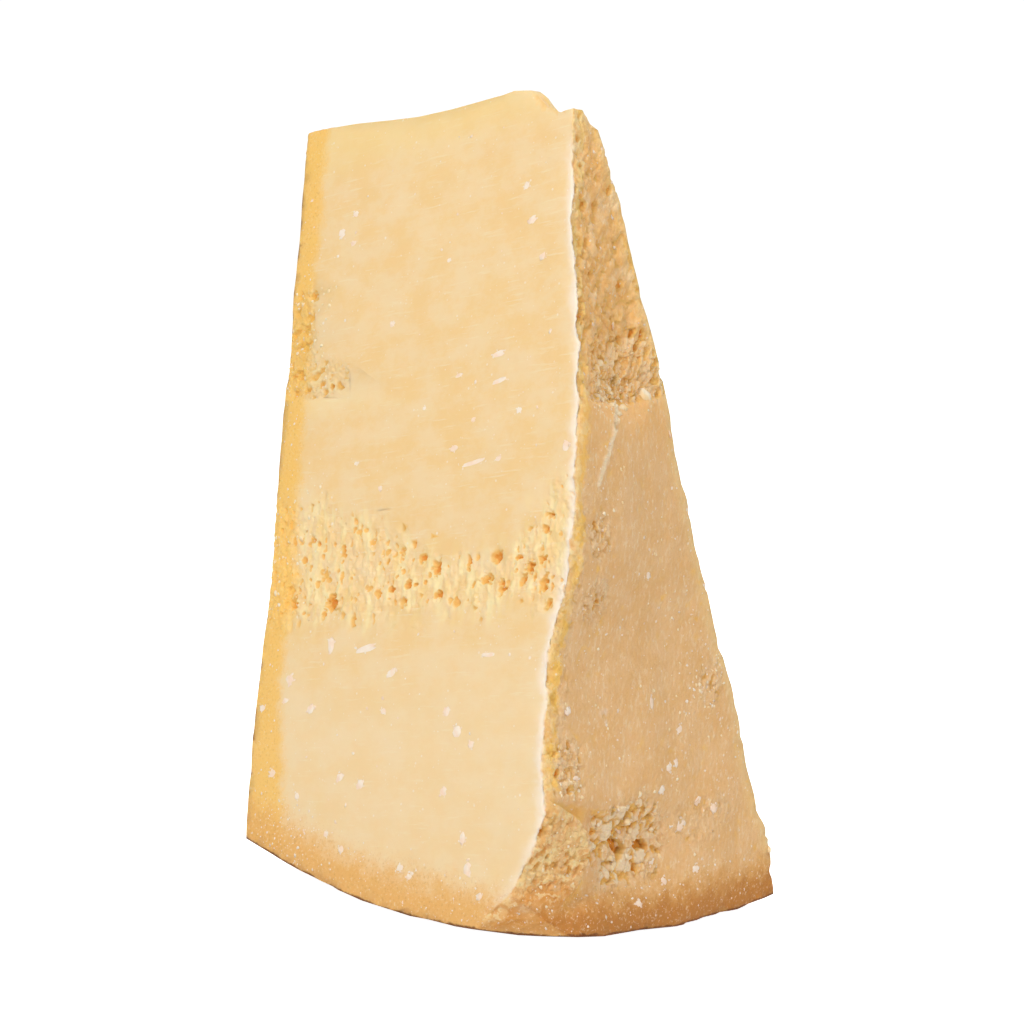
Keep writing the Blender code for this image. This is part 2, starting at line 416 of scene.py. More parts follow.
@dataclass
class Relief:
    """What a surface gets: height and sideways moves in millimetres, and shares such as painted shade."""

    height: np.ndarray
    aside: np.ndarray
    # The share of painted warm shade in openings, gaps and on steep walls.
    hollow_shade: np.ndarray
    crumbly: np.ndarray
    # The share of pale crumbs and scratches, and of painted highlight on crests.
    pale: np.ndarray
    # The share of golden painted light on the chip's facet, the flake and the strip by the front edge.
    golden: np.ndarray

    @classmethod
    def level(cls, count: int) -> "Relief":
        """A surface with nothing on it yet."""
        return cls(*(np.zeros(count) for _ in range(6)))

    def raise_to(self, name: str, values: np.ndarray, where: object = slice(None)) -> None:
        """Raises one of the stored shares to the values wherever it is lower.

        Args:
            name: which share, such as the one for painted shade in hollows.
            values: what it is at least, from 0 to 1.
            where: the points that the values are for.
        """
        stored = getattr(self, name)
        stored[where] = np.maximum(stored[where], values)


@dataclass(frozen=True)
class Openings:
    """Small torn openings in a surface, one in a share of its cells. Lengths are in millimetres."""

    width: float
    length: float
    share: float
    depth: float
    small: float = 0.18
    large: float = 0.42
    lopsided: float = 0.35

    def carve(self, lattice: Lattice, points: np.ndarray, amount: np.ndarray) -> np.ndarray:
        """How deep the openings go.

        Args:
            lattice: the noise that places them.
            points: the surface's points, in millimetres across and along the openings.
            amount: how much of the full share of openings each place has, from 0 to 1.

        Returns:
            The depth at each point, in millimetres.
        """
        cells = lattice.cells(points / np.array([self.width, self.length]))
        own = (cells.pick * 7.31) % 1.0
        reach = self.small + (self.large - self.small) * own
        bowl = 1.0 - smooth_step(cells.nearest / reach, 0.55, 1.0)
        side = 1.0 + self.lopsided * np.clip(cells.off[:, 0] / reach, -1.0, 1.0)
        return self.depth * (0.5 + 0.5 * own) * bowl * side * (cells.pick < self.share * amount)


@dataclass(frozen=True)
class Hole:
    """One torn opening in a face: its middle across the face and from the axis, and its size, in mm."""

    across: float
    radius: float
    wide: float
    long: float
    depth: float = 1.1

    def carve(self, lattice: Lattice, plane: np.ndarray, depth: np.ndarray) -> None:
        """Deepens the opening with a ragged outline, steepest on its far side.

        Args:
            lattice: the noise that roughens it.
            plane: the surface's points, in millimetres across and from the axis.
            depth: the depth at each point so far, which is changed.
        """
        off = (plane - np.array([self.across, self.radius])) / (0.46 * np.array([self.wide, self.long]))
        near = (np.abs(off) < 1.8).all(axis=1)
        rag = 0.9 * lattice.layers(plane[near] / 1.3 + self.radius, 3, 0.7)
        lean = off[near] - np.array([0.25, 0.0])
        reach = np.linalg.norm(lean, axis=1) + rag
        side = 1.0 + 0.5 * np.clip(off[near, 0], -1.0, 1.0)
        depth[near] = np.maximum(depth[near], 0.75 * self.depth * side * smooth_step(reach, 1.1, 0.2))


@dataclass(frozen=True)
class Crumble:
    """Broken, blocky paste: every cell is a crumb with its own height and tilt. Lengths are in mm."""

    size: float
    height: float
    tilt: float = 1.0
    lost: float = 0.2
    drop: float = 1.6
    dome: float = 0.0

    def pile(self, lattice: Lattice, points: np.ndarray) -> tuple[np.ndarray, np.ndarray, np.ndarray]:
        """How far the crumbs stand out.

        Args:
            lattice: the noise that places them.
            points: the surface's points, in millimetres.

        Returns:
            The height at each point in millimetres, how far a crumb is missing there, and how pale the crumb
            is, both from 0 to 1.
        """
        warp = np.column_stack([lattice.smooth(points / self.size + 5.0 * k) for k in range(points.shape[1])])
        cells = lattice.cells(points / self.size + 0.45 * warp)
        missing = smooth_step(cells.pick, self.lost, 0.5 * self.lost - 0.01)
        seam = 1.0 - smooth_step(cells.second - cells.nearest, 0.0, 0.22)
        block = (cells.pick - 0.5) + self.tilt * cells.lean - 0.25 * seam - self.dome * cells.nearest**2
        return self.height * (block - self.drop * missing), missing, (cells.pick * 5.77) % 1.0


def holes(*rows: tuple[float, ...]) -> tuple[Hole, ...]:
    """Makes a hole of each row of its numbers: across, radius, wide, long and, if unusual, depth."""
    return tuple(Hole(*row) for row in rows)


BAND_HOLES = holes(
    (-95.3, 131.2, 4.6, 4.6, 1.5), (-97.0, 128.0, 3.4, 6.0, 0.9), (-92.3, 119.7, 2.4, 2.2),
    (-89.4, 114.5, 3.0, 2.6), (-86.9, 115.7, 1.7, 1.9), (-83.9, 124.4, 5.0, 4.6, 0.9),
    (-80.0, 131.8, 6.2, 5.6, 1.6), (-82.0, 135.0, 2.4, 3.6), (-76.9, 118.6, 3.0, 5.0),
    (-70.6, 114.0, 3.4, 4.6, 0.9), (-65.2, 116.8, 2.2, 2.2), (-70.1, 137.2, 2.2, 4.6, 1.3),
    (-62.3, 137.2, 2.0, 4.2, 0.7), (-61.7, 130.5, 3.4, 3.2), (-56.8, 129.5, 2.6, 2.6, 1.4),
    (-59.0, 122.5, 2.0, 1.8), (-50.5, 129.1, 2.8, 4.0, 1.3), (-47.7, 129.0, 1.8, 1.8),
    (-51.7, 133.5, 3.8, 3.6), (-54.0, 120.5, 2.8, 3.8), (-53.4, 114.1, 1.9, 3.0, 1.2),
    (-49.8, 118.6, 2.2, 2.8), (-46.2, 122.3, 3.4, 4.2, 1.4), (-43.7, 116.6, 2.6, 2.2),
    (-40.6, 125.4, 4.0, 6.0, 1.3), (-39.1, 132.2, 4.0, 2.6, 1.4), (-31.5, 134.9, 2.6, 2.8),
    (-29.0, 124.9, 2.6, 4.8, 1.3), (-22.5, 129.6, 6.0, 3.8), (-19.6, 124.2, 4.6, 4.4, 1.5),
    (-16.2, 132.0, 3.0, 5.2, 1.3), (-11.7, 125.0, 4.4, 1.7), (-9.3, 130.5, 3.2, 3.2, 1.2),
    (-7.3, 127.4, 4.2, 3.6, 1.6), (-8.6, 135.9, 1.8, 1.8), (-7.9, 118.1, 2.2, 1.5),
    (-4.9, 130.4, 1.8, 1.8), (-2.8, 118.8, 3.0, 2.4), (-2.8, 126.1, 3.8, 3.2, 1.3),
    (-1.8, 132.3, 3.6, 6.0, 1.2), (-0.8, 115.3, 3.0, 2.6, 1.4), (0.3, 137.2, 3.8, 3.4),
)

PATCH_HOLES = holes(
    (-96.1, 47.7, 4.4, 3.8, 1.2), (-97.7, 53.5, 3.4, 3.6, 0.9), (-98.6, 57.0, 4.0, 3.2, 0.9),
    (-99.0, 61.0, 3.6, 3.6, 0.8), (-99.7, 68.6, 4.0, 4.8, 1.3), (-95.6, 73.6, 2.8, 2.6, 1.1),
    (-89.8, 72.8, 2.8, 2.8, 1.0), (-85.4, 73.8, 2.4, 2.4, 1.1), (-81.3, 75.0, 2.2, 2.6, 1.1),
    (-93.6, 70.4, 2.2, 2.2, 0.8),
)

END_HOLES = holes(
    (2.8, 28.0, 1.7, 2.2, 0.8), (3.4, 35.6, 1.4, 2.6, 0.8), (8.0, 40.2, 1.7, 1.4, 0.8),
    (2.0, 56.0, 1.9, 2.0, 0.9), (4.4, 59.0, 2.2, 1.4, 0.8), (2.3, 66.7, 2.3, 3.9, 1.2),
    (4.6, 69.4, 1.8, 2.2, 1.3), (7.0, 73.4, 1.7, 1.8, 1.2), (10.6, 74.2, 1.9, 3.4, 1.3),
    (14.4, 75.8, 3.0, 1.9, 1.5), (13.4, 79.3, 2.4, 1.8, 1.3), (15.6, 81.2, 2.6, 2.0, 1.5),
    (16.7, 85.6, 2.9, 1.3, 1.2), (8.9, 117.2, 1.9, 3.4, 1.3), (8.0, 113.8, 1.6, 1.4, 0.9),
    (11.1, 127.9, 2.3, 2.8, 1.1), (13.1, 135.5, 3.2, 1.3, 1.2), (5.1, 132.6, 2.4, 1.3, 0.8),
    (61.2, 160.0, 1.2, 5.0, 0.9), (19.9, 196.6, 3.2, 3.0, 1.6), (20.6, 190.6, 2.8, 2.2, 1.3),
    (29.4, 191.0, 2.2, 2.6, 1.3), (32.2, 195.8, 1.8, 3.0, 1.6), (38.6, 194.4, 1.8, 3.6, 1.4),
    (36.4, 189.9, 1.4, 2.4, 1.3), (11.2, 197.8, 1.3, 2.2, 0.8), (6.0, 199.0, 1.5, 2.4, 0.9),
    (4.0, 189.5, 1.6, 2.8, 0.7), (14.0, 209.0, 3.2, 1.7, 1.1), (25.3, 207.4, 2.2, 1.6, 1.1),
    (55.5, 195.8, 1.6, 1.8, 0.8),
)


@dataclass(frozen=True)
class TornBand:
    """The band across the cut face where the wire tore the paste open. Lengths are in millimetres."""

    top_left: float = 103.0
    top_rise: float = 19.0
    top_fall: float = 15.0
    bottom: float = 138.5
    edge: float = 3.6
    wobble: float = 5.5
    small: Openings = Openings(1.9, 2.9, 0.42, 0.6)
    strokes: float = 0.38
    lumps: float = 0.85

    def amount(self, places: Places, lattice: Lattice) -> np.ndarray:
        """How far each point lies in the band, from 0 to 1."""
        top = self.top_left + self.top_rise * smooth_step(places.axial, -95.0, -30.0)
        top = top - self.top_fall * smooth_step(places.axial, -17.0, 2.0)
        wobble = self.wobble * lattice.layers(places.flat_points(places.axial, 7.0, 30.0), 2)
        inside = smooth_step(places.radius, top + wobble - self.edge, top + wobble + self.edge)
        end = self.bottom + wobble
        return inside * smooth_step(places.radius, end + self.edge, end - self.edge)

    def carve(self, places: Places, lattice: Lattice, relief: Relief) -> np.ndarray:
        """Tears the band open and returns how far each point lies in it."""
        share = places.share(Face.CUT)
        amount = self.amount(places, lattice) * share
        near = (share > 0.01) & (np.abs(places.radius - 122.0) < 28.0)
        plane = np.column_stack([places.axial, places.radius])[near]
        bend = np.column_stack([lattice.layers(plane / 2.2 + 9.0 * k, 2) for k in range(2)])
        bent = plane + np.array([0.9, 1.5]) * bend
        torn = amount[near]
        crowd = torn * (0.55 + 0.75 * smooth_step(lattice.smooth(plane / 11.0 + 50.0), -0.35, 0.35))
        crowd = crowd * (0.75 + 0.25 * smooth_step(plane[:, 0], -45.0, -85.0))
        depth = self.small.carve(lattice, bent + 31.0, crowd) * smooth_step(torn, 0.0, 0.5)
        for hole in BAND_HOLES:
            hole.carve(lattice, plane, depth)
        depth *= 1.1 * share[near]
        strokes = self.strokes * lattice.layers(plane / np.array([3.0, 9.0]) + 3.0, 2)
        strokes += self.lumps * lattice.layers(plane / np.array([2.6, 3.8]) + 23.0, 3, 0.55)
        relief.height[near] += torn * (strokes - 0.12) - depth
        # The openings get painted shade by their depth.
        relief.raise_to("hollow_shade", np.clip(depth / 1.1, 0.0, 1.0), near)
        return amount


@dataclass(frozen=True)
class CutFace:
    """The smooth front, cut with a wire. Lengths are in millimetres."""

    seed: int = 11
    band: TornBand = TornBand()
    drag: float = 0.09
    dents: float = 0.22
    patch_crumbs: Crumble = Crumble(1.9, 0.42, 0.9, 0.18)
    border_crumbs: Crumble = Crumble(1.2, 0.10, 0.8, 0.06)
    patch_middle: tuple[float, float] = (-99.0, 61.0)
    patch_size: tuple[float, float] = (7.0, 17.0)
    patch_foot: tuple[float, float, float, float] = (-90.5, 71.5, 14.5, 5.5)
    step_radius: float = 76.2
    step_slope: float = 0.09
    curl: tuple[float, float, float] = (-50.0, 14.2, 3.0)
    border_width: float = 10.0

    def carve(self, places: Places, near_rind: np.ndarray, relief: Relief) -> np.ndarray:
        """Adds the cut face's dents, drag lines, torn band and crumbled patch.

        Args:
            places: where the points are.
            near_rind: the distance to the nearest rind, in millimetres.
            relief: what is added to.

        Returns:
            How far each point lies in the torn band.
        """
        lattice = Lattice(self.seed)
        share = places.share(Face.CUT)
        dents = self.dents * lattice.layers(places.flat_points(places.axial, 17.0, 9.0))
        drag = self.drag * lattice.layers(places.flat_points(places.axial, 20.0, 0.9), 2)
        relief.height += share * (dents + drag)
        torn = self.band.carve(places, lattice, relief)

        rag = 0.4 * lattice.layers(places.flat_points(places.axial, 5.0, 5.0), 3)
        high = np.hypot(
            (places.axial - self.patch_middle[0]) / self.patch_size[0],
            (places.radius - self.patch_middle[1]) / self.patch_size[1],
        )
        foot_x, foot_y, foot_wide, foot_tall = self.patch_foot
        low = np.hypot((places.axial - foot_x) / foot_wide, (places.radius - foot_y) / foot_tall)
        step = self.step_radius + self.step_slope * (places.axial + 92.0)
        above_step = smooth_step(places.radius, step + 0.35, step - 0.35)
        patch = share * smooth_step(np.minimum(high, low) + rag, 1.05, 0.8) * above_step
        self._crumble(self.patch_crumbs, places, lattice, patch, relief, -0.3)
        near = patch > 0.01
        depth = np.zeros(int(near.sum()))
        for hole in PATCH_HOLES:
            hole.carve(lattice, np.column_stack([places.axial, places.radius])[near], depth)
        relief.height[near] -= depth * share[near]
        # The patch's holes get painted shade by their depth.
        relief.raise_to("hollow_shade", np.clip(depth / 0.9, 0.0, 1.0) * share[near], near)
        lip = hump(places.radius, step + 0.9, 0.9)
        lip = lip * smooth_step(np.abs(places.axial + 90.0) + rag, 13.5, 11.0)
        ring = np.hypot(places.axial - self.curl[0], places.radius - self.curl[1]) / self.curl[2]
        ring = hump(ring + 0.2 * rag, 1.0, 0.35) * smooth_step(places.radius - self.curl[1], -1.0, 1.0)
        relief.height += share * (0.25 * lip - 0.3 * ring)
        relief.raise_to("pale", share * np.maximum(0.9 * lip, 0.5 * ring))
        border = share * smooth_step(near_rind, self.border_width, 0.5 * self.border_width)
        self._crumble(self.border_crumbs, places, lattice, border * (1.0 - patch), relief, 0.0)
        return torn

    @staticmethod
    def _crumble(
        crumbs: Crumble, places: Places, lattice: Lattice, amount: np.ndarray, relief: Relief, level: float
    ) -> None:
        """Covers part of the face with crumbs, by amount, at a level above or below it."""
        near = amount > 0.01
        height, missing, _ = crumbs.pile(lattice, np.column_stack([places.axial, places.radius])[near])
        relief.height[near] += amount[near] * (height + level)
        strength = amount[near] * min(1.0, crumbs.height * 2.5)
        # Where a crumb is missing, the gap gets painted shade.
        relief.raise_to("hollow_shade", 0.5 * missing * strength, near)
        relief.raise_to("crumbly", strength, near)


@dataclass(frozen=True)
class Patch:
    """A rough place on the broken face: its middle and reach across and from the axis, in millimetres."""

    middle: tuple[float, float]
    reach: tuple[float, float]
    strength: float

    def amount(self, plane: np.ndarray, rag: np.ndarray) -> np.ndarray:
        """How far each point lies in it, with a ragged outline."""
        off = np.linalg.norm((plane - np.array(self.middle)) / np.array(self.reach), axis=1)
        return self.strength * smooth_step(off + 0.45 * rag, 1.1, 0.7)


@dataclass(frozen=True)
class BrokenFace:
    """The end where the piece was broken off, coarse above its ledge and fine below. Lengths are in mm."""

    seed: int = 23
    ledge_radius: float = 87.0
    groove: float = 0.8
    flow: float = 0.22
    calm: float = 0.7
    blocks: Crumble = Crumble(3.5, 1.25, 1.1, 0.12, 0.8, 0.7)
    facets: Crumble = Crumble(3.0, 0.75, 1.6, 0.0)
    recess: float = 1.2
    lumps: Crumble = Crumble(1.6, 0.46, 1.2, 0.12, 1.2, 0.7)
    grains: Crumble = Crumble(1.0, 0.14, 1.0, 0.05)
    pits: Openings = Openings(2.4, 4.6, 0.4, 1.2)
    ridge_radii: tuple[float, ...] = (183.8, 186.1, 188.8, 191.6, 197.7, 203.1, 206.4, 212.0)
    ridge_inward: tuple[float, ...] = (1.4, 8.9, 13.5, 16.1, 17.6, 16.4, 13.6, 11.0)
    ridge_drop: float = 2.4
    patches: tuple[Patch, ...] = (
        Patch((32.0, 193.5), (16.5, 12.0), 1.0),
        Patch((9.0, 196.0), (10.0, 11.0), 0.74),
        Patch((61.0, 159.5), (4.5, 5.5), 0.6),
        Patch((8.5, 176.0), (6.0, 8.0), 0.8),
        Patch((11.5, 120.0), (4.5, 6.5), 0.75),
        Patch((13.0, 135.0), (5.5, 6.5), 0.75),
        Patch((4.0, 150.0), (4.0, 60.0), 0.3),
        Patch((60.0, 192.0), (14.0, 6.0), 0.35),
    )
    scratch_start: tuple[float, float] = (17.6, 87.5)
    scratch_end: tuple[float, float] = (9.4, 107.5)
    scratch_height: float = 0.35

    def crumbled(self, places: Places, lattice: Lattice) -> np.ndarray:
        """How crumbly each point of the face is, from 0 to 1."""
        rag = lattice.layers(places.flat_points(places.inward, 6.0, 6.0), 3)
        plane = np.column_stack([places.inward, places.radius])
        upper = smooth_step(places.radius + 3.0 * rag, self.ledge_radius + 2.0, self.ledge_radius - 2.0)
        ledge = hump(places.radius, self.ledge_radius - 4.0, 22.0) * smooth_step(places.inward, 4.0, 10.0)
        amount = upper * (0.35 + 0.65 * ledge)
        for patch in self.patches:
            amount = np.maximum(amount, patch.amount(plane, rag))
        edge = 0.35 * smooth_step(places.inward + 2.5 * rag, 9.0, 3.0)
        edge = edge * smooth_step(places.radius, 100.0, 110.0)
        return np.maximum(amount, edge)

    def carve(self, places: Places, relief: Relief) -> None:
        """Adds the broken face's grooves, blocks, lumps, grains, pits and scratch."""
        lattice = Lattice(self.seed)
        share = places.share(Face.BROKEN, 0.35, 0.7)
        near = share > 0.01
        part = places.subset(near)
        plane = np.column_stack([part.inward, part.radius])
        crumbly = self.crumbled(part, lattice)

        above = smooth_step(part.radius, self.ledge_radius + 1.0, self.ledge_radius - 1.0)
        grooves = self.groove * lattice.layers(part.flat_points(part.inward, 3.0, 9.0), 3) * above
        facet_height, _, facet_pale = self.facets.pile(lattice, plane * np.array([1.0, 0.7]) + 43.0)
        grooves += above * smooth_step(part.radius, 24.0, 50.0) * (facet_height - self.recess)
        flow = self.flow * lattice.layers(part.flat_points(part.inward, 1.8, 4.0), 3)
        soft = self.calm * lattice.layers(part.flat_points(part.inward, 9.0, 14.0), 2)
        block, block_lost, block_pale = self.blocks.pile(lattice, plane)
        lump, lump_lost, lump_pale = self.lumps.pile(lattice, plane + 17.0)
        grain, _, grain_pale = self.grains.pile(lattice, plane + 29.0)
        bent = plane + np.column_stack([0.8 * lattice.smooth(plane / 3.0 + 9.0 * k) for k in range(2)])
        pitted = np.maximum(above * 0.8, crumbly) * smooth_step(crumbly + above, 0.1, 0.5)
        pit = self.pits.carve(lattice, bent, pitted)
        rough = smooth_step(crumbly, 0.75, 0.95)
        rough = rough * (0.25 + 0.75 * smooth_step(part.to_back, 1.0, 7.0))
        holes = np.zeros(len(plane))
        for hole in END_HOLES:
            hole.carve(lattice, plane, holes)
        pit = np.maximum(pit, holes)
        chunky = rough * smooth_step(part.radius, 120.0, 150.0)
        piled = chunky * block + (0.3 + 0.7 * crumbly) * (1.0 - 0.4 * chunky) * lump
        height = grooves + soft + flow + piled + grain - pit
        ridge, facet = self._ridge(part, lattice)
        height += ridge

        start, end = np.array(self.scratch_start), np.array(self.scratch_end)
        along = np.clip(((plane - start) @ (end - start)) / ((end - start) @ (end - start)), 0.0, 1.0)
        off = np.linalg.norm(plane - start - along[:, None] * (end - start), axis=1)
        scratch = smooth_step(off + 0.8 * lattice.layers(plane / 1.1, 3), 1.05, 0.45)
        height += scratch * (self.scratch_height + 0.5 * lump)

        relief.height[near] += share[near] * height
        # Painted warm shade goes in low places between crumbs, in lost blocks and lumps, and in pits.
        deep = 0.6 * crumbly * smooth_step(piled, -0.15, -0.75)
        hollow_shade = np.clip(np.maximum(chunky * block_lost, pit / 1.3) + 0.6 * crumbly * lump_lost, 0.0, 1.0)
        hollow_shade = np.maximum(hollow_shade, deep)
        relief.raise_to("hollow_shade", share[near] * hollow_shade, near)
        relief.raise_to("crumbly", share[near] * np.maximum(crumbly, 0.7 * scratch), near)
        pale = chunky * smooth_step(block_pale, 0.2, 0.7) + 0.5 * crumbly * smooth_step(lump_pale, 0.3, 0.8)
        pale = pale + 0.12 * grain_pale + scratch + 0.35 * above * smooth_step(facet_pale, 0.7, 0.95)
        pale = np.clip(pale, 0.0, 1.0) * (1.0 - np.clip(2.0 * hollow_shade, 0.0, 1.0))
        relief.raise_to("pale", share[near] * pale, near)
        # Painted light: golden glow on the edge strip, lit through, and on the chip's facet, which the lamps
        # miss.
        strip = smooth_step(part.inward + 2.6 * lattice.layers(plane / 4.0, 3), 3.2, 1.2)
        golden = np.maximum(facet * (0.8 + 0.2 * lump_pale), 0.65 * strip)
        relief.raise_to("golden", share[near] * golden, near)

    def _ridge(self, places: Places, lattice: Lattice) -> tuple[np.ndarray, np.ndarray]:
        """The chip at the foot of the front edge.

        Args:
            places: where the points are.
            lattice: the noise that roughens it.

        Returns:
            The height of its ridge and of the hollow that drops away behind, and how far each point lies on
            its facet.
        """
        line = np.interp(places.radius, self.ridge_radii, self.ridge_inward)
        rag = 0.8 * lattice.layers(places.flat_points(places.inward, 4.0, 4.0) + 60.0, 3)
        beyond = places.inward - line - rag
        inside = smooth_step(places.radius, 183.0, 187.0) * smooth_step(places.radius, 211.0, 205.0)
        rise = 0.9 * smooth_step(beyond, -12.0, -0.5) * smooth_step(beyond, 0.8, -0.2)
        drop = self.ridge_drop * smooth_step(beyond, -0.2, 1.3) * smooth_step(beyond, 26.0, 4.0)
        return inside * (rise - drop), inside * smooth_step(beyond, 0.4, -0.6)


@dataclass(frozen=True)
class BackFace:
    """The broken back, coarse all over with calmer stretches. Lengths are in millimetres."""

    seed: int = 37
    swell: float = 0.9
    flow: float = 0.22
    blocks: Crumble = Crumble(4.4, 0.8, 1.0, 0.16, 1.3)
    lumps: Crumble = Crumble(2.1, 0.34, 0.9, 0.1, 1.3)
    pits: Openings = Openings(6.0, 8.0, 0.30, 1.5)

    def carve(self, places: Places, relief: Relief) -> None:
        """Adds the back's swells, blocks, lumps and pits."""
        lattice = Lattice(self.seed)
        share = places.share(Face.BACK)
        near = share > 0.01
        plane = np.column_stack([places.axial, places.radius])[near]
        rough = smooth_step(lattice.layers(plane / 24.0, 3), 0.0, 0.35)
        thick = smooth_step(places.radius[near], 6.0, 40.0)
        block, block_lost, block_pale = self.blocks.pile(lattice, plane)
        lump, lump_lost, _ = self.lumps.pile(lattice, plane + 11.0)
        bent = plane + np.column_stack([1.2 * lattice.smooth(plane / 4.0 + 9.0 * k) for k in range(2)])
        pit = self.pits.carve(lattice, bent, rough)
        flow = self.flow * lattice.layers(plane / np.array([2.0, 9.0]), 3)
        height = self.swell * lattice.layers(plane / 13.0, 2) + flow + rough * block
        height += (0.25 + 0.75 * rough) * lump - pit
        relief.height[near] += share[near] * thick * height
        # Lost blocks and lumps, and pits, get painted warm shade.
        hollow_shade = np.clip(np.maximum(rough * block_lost, pit / 1.3) + 0.5 * rough * lump_lost, 0.0, 1.0)
        relief.raise_to("hollow_shade", share[near] * thick * hollow_shade, near)
        relief.raise_to("crumbly", share[near] * rough * 0.8, near)
        pale = rough * smooth_step(block_pale, 0.4, 0.9) * (1.0 - hollow_shade)
        relief.raise_to("pale", share[near] * pale, near)


@dataclass(frozen=True)
class FrontEdge:
    """The sharp edge between the cut face and the broken one, chipped all along. Lengths are in mm."""

    seed: int = 41
    width: float = 2.2
    depth: float = 0.7
    chips: float = 0.4
    wander: float = 1.9
    highlight_width: float = 3.0

    def carve(self, places: Places, to_cut: np.ndarray, to_broken: np.ndarray, relief: Relief) -> np.ndarray:
        """Wears the edge down, and works out where its painted highlight goes.

        Args:
            places: where the points are.
            to_cut: the distance to the cut face, in millimetres.
            to_broken: the distance to the broken face, in millimetres.
            relief: what is added to.

        Returns:
            How much painted highlight each point gets, from 0 to 1.
        """
        lattice = Lattice(self.seed)
        level = np.zeros(len(places.radius))
        ragged = lattice.layers(np.column_stack([places.radius / 7.5, places.inward / 9.0]), 4, 0.6)
        cells = lattice.cells(np.column_stack([places.radius / 7.0, level]))
        notch = smooth_step(cells.nearest, 0.3, 0.1) * (cells.pick < 0.4)
        broken = places.share(Face.BROKEN, 0.25, 0.7)
        cut = places.share(Face.CUT, 0.25, 0.7)
        below_tip = smooth_step(places.radius, 16.0, 36.0)
        wear_and_highlight = below_tip * np.clip(0.35 + 0.9 * ragged + 1.4 * notch, 0.0, 2.0)
        reach = self.width * (0.8 + 0.6 * wear_and_highlight)
        relief.height -= broken * self.depth * wear_and_highlight * (1.0 - np.clip(to_cut / reach, 0.0, 1.0)) ** 2
        relief.height -= cut * self.chips * wear_and_highlight * (1.0 - np.clip(to_broken / reach, 0.0, 1.0)) ** 2
        line = lattice.smooth(np.column_stack([places.radius / 13.0 + 40.0, level]))
        line = line + 0.38 * lattice.layers(np.column_stack([places.radius / 4.5 + 80.0, level]), 3, 0.6)
        close = (1.0 - np.clip(np.maximum(to_cut, to_broken) / 5.0, 0.0, 1.0)) ** 1.5
        relief.aside += close * self.wander * line * below_tip
        # Painted highlight along the edge, mostly on the cut side, wider where the edge is ragged.
        spread = self.highlight_width * (1.0 + 0.8 * ragged)
        pale = cut * smooth_step(to_broken, spread, 0.1 * spread) * below_tip
        return np.clip(pale + 0.5 * broken * smooth_step(to_cut, 0.9 + ragged, 0.2) * below_tip, 0.0, 1.0)


class Graph:
    """Adds nodes to one node tree and links them."""

    def __init__(self, tree: bpy.types.NodeTree) -> None:
        """Takes the tree to build in."""
        self.tree = tree

    def add(self, kind: str, inputs: dict | None = None, **settings: object) -> bpy.types.Node:
        """Adds one node.

        Args:
            kind: the node's type.
            inputs: by input name or index, the value or the socket that it takes.
            **settings: the node's own values.

        Returns:
            The node.
        """
        node = self.tree.nodes.new(kind)
        for name, value in settings.items():
            setattr(node, name, value)
        for name, value in (inputs or {}).items():
            if isinstance(value, Socket):
                self.tree.links.new(value, node.inputs[name])
            else:
                node.inputs[name].default_value = value
        return node

    def math(self, operation: str, first: object, second: object, clamp: bool = False) -> Socket:
        """The result of an operation on two numbers."""
        given = {0: first, 1: second}
        return self.add("ShaderNodeMath", given, operation=operation, use_clamp=clamp).outputs[0]

    def times(self, first: object, second: object) -> Socket:
        """The product of two numbers."""
        return self.math("MULTIPLY", first, second)

    def step(self, value: object, low: float, high: float) -> Socket:
        """0 below low, 1 above high, and a smooth rise between them."""
        falling = low > high
        limits = {"From Min": high if falling else low, "From Max": low if falling else high}
        ends = {"To Min": 1.0, "To Max": 0.0} if falling else {"To Min": 0.0, "To Max": 1.0}
        given = {"Value": value} | limits | ends
        return self.add("ShaderNodeMapRange", given, interpolation_type="SMOOTHSTEP").outputs["Result"]

    def mix(self, factor: object, first: object, second: object) -> Socket:
        """Mixes two colours."""
        return self.add("ShaderNodeMix", {0: factor, 6: first, 7: second}, data_type="RGBA").outputs[2]

    def tint(self, colour: object, mask: object, strength: object, tone: object) -> Socket:
        """Mixes a tone into the colour where the mask is, at a strength."""
        return self.mix(self.times(mask, strength), colour, tone)

    def noise(self, place: object, scale: float, detail: float = 2.0, rough: float = 0.5) -> Socket:
        """Soft noise, about 0.25 to 0.75."""
        given = {"Vector": place, "Scale": scale, "Detail": detail, "Roughness": rough}
        return self.add("ShaderNodeTexNoise", given).outputs["Fac"]

    def cells(self, place: object, scale: object) -> bpy.types.Node:
        """A pattern of uneven cells."""
        return self.add("ShaderNodeTexVoronoi", {"Vector": place, "Scale": scale})

    def stretched(self, place: object, scale: tuple[float, float, float]) -> Socket:
        """The place, stretched by a scale on each axis."""
        return self.add("ShaderNodeVectorMath", {0: place, 1: scale}, operation="MULTIPLY").outputs[0]

    def attribute(self, name: str, vector: bool = False) -> Socket:
        """A value stored at the vertices."""
        return self.add("ShaderNodeAttribute", attribute_name=name).outputs["Vector" if vector else "Fac"]

    def ramp(self, name: str, low: float, high: float) -> Socket:
        """0 where the value stored at the vertices is below low, 1 above high, and a smooth rise."""
        return self.step(self.attribute(name), low, high)

    def group(self, tree: bpy.types.NodeTree, inputs: dict) -> Socket:
        """The first result of a node group with these inputs."""
        return self.add("ShaderNodeGroup", inputs, node_tree=tree).outputs[0]


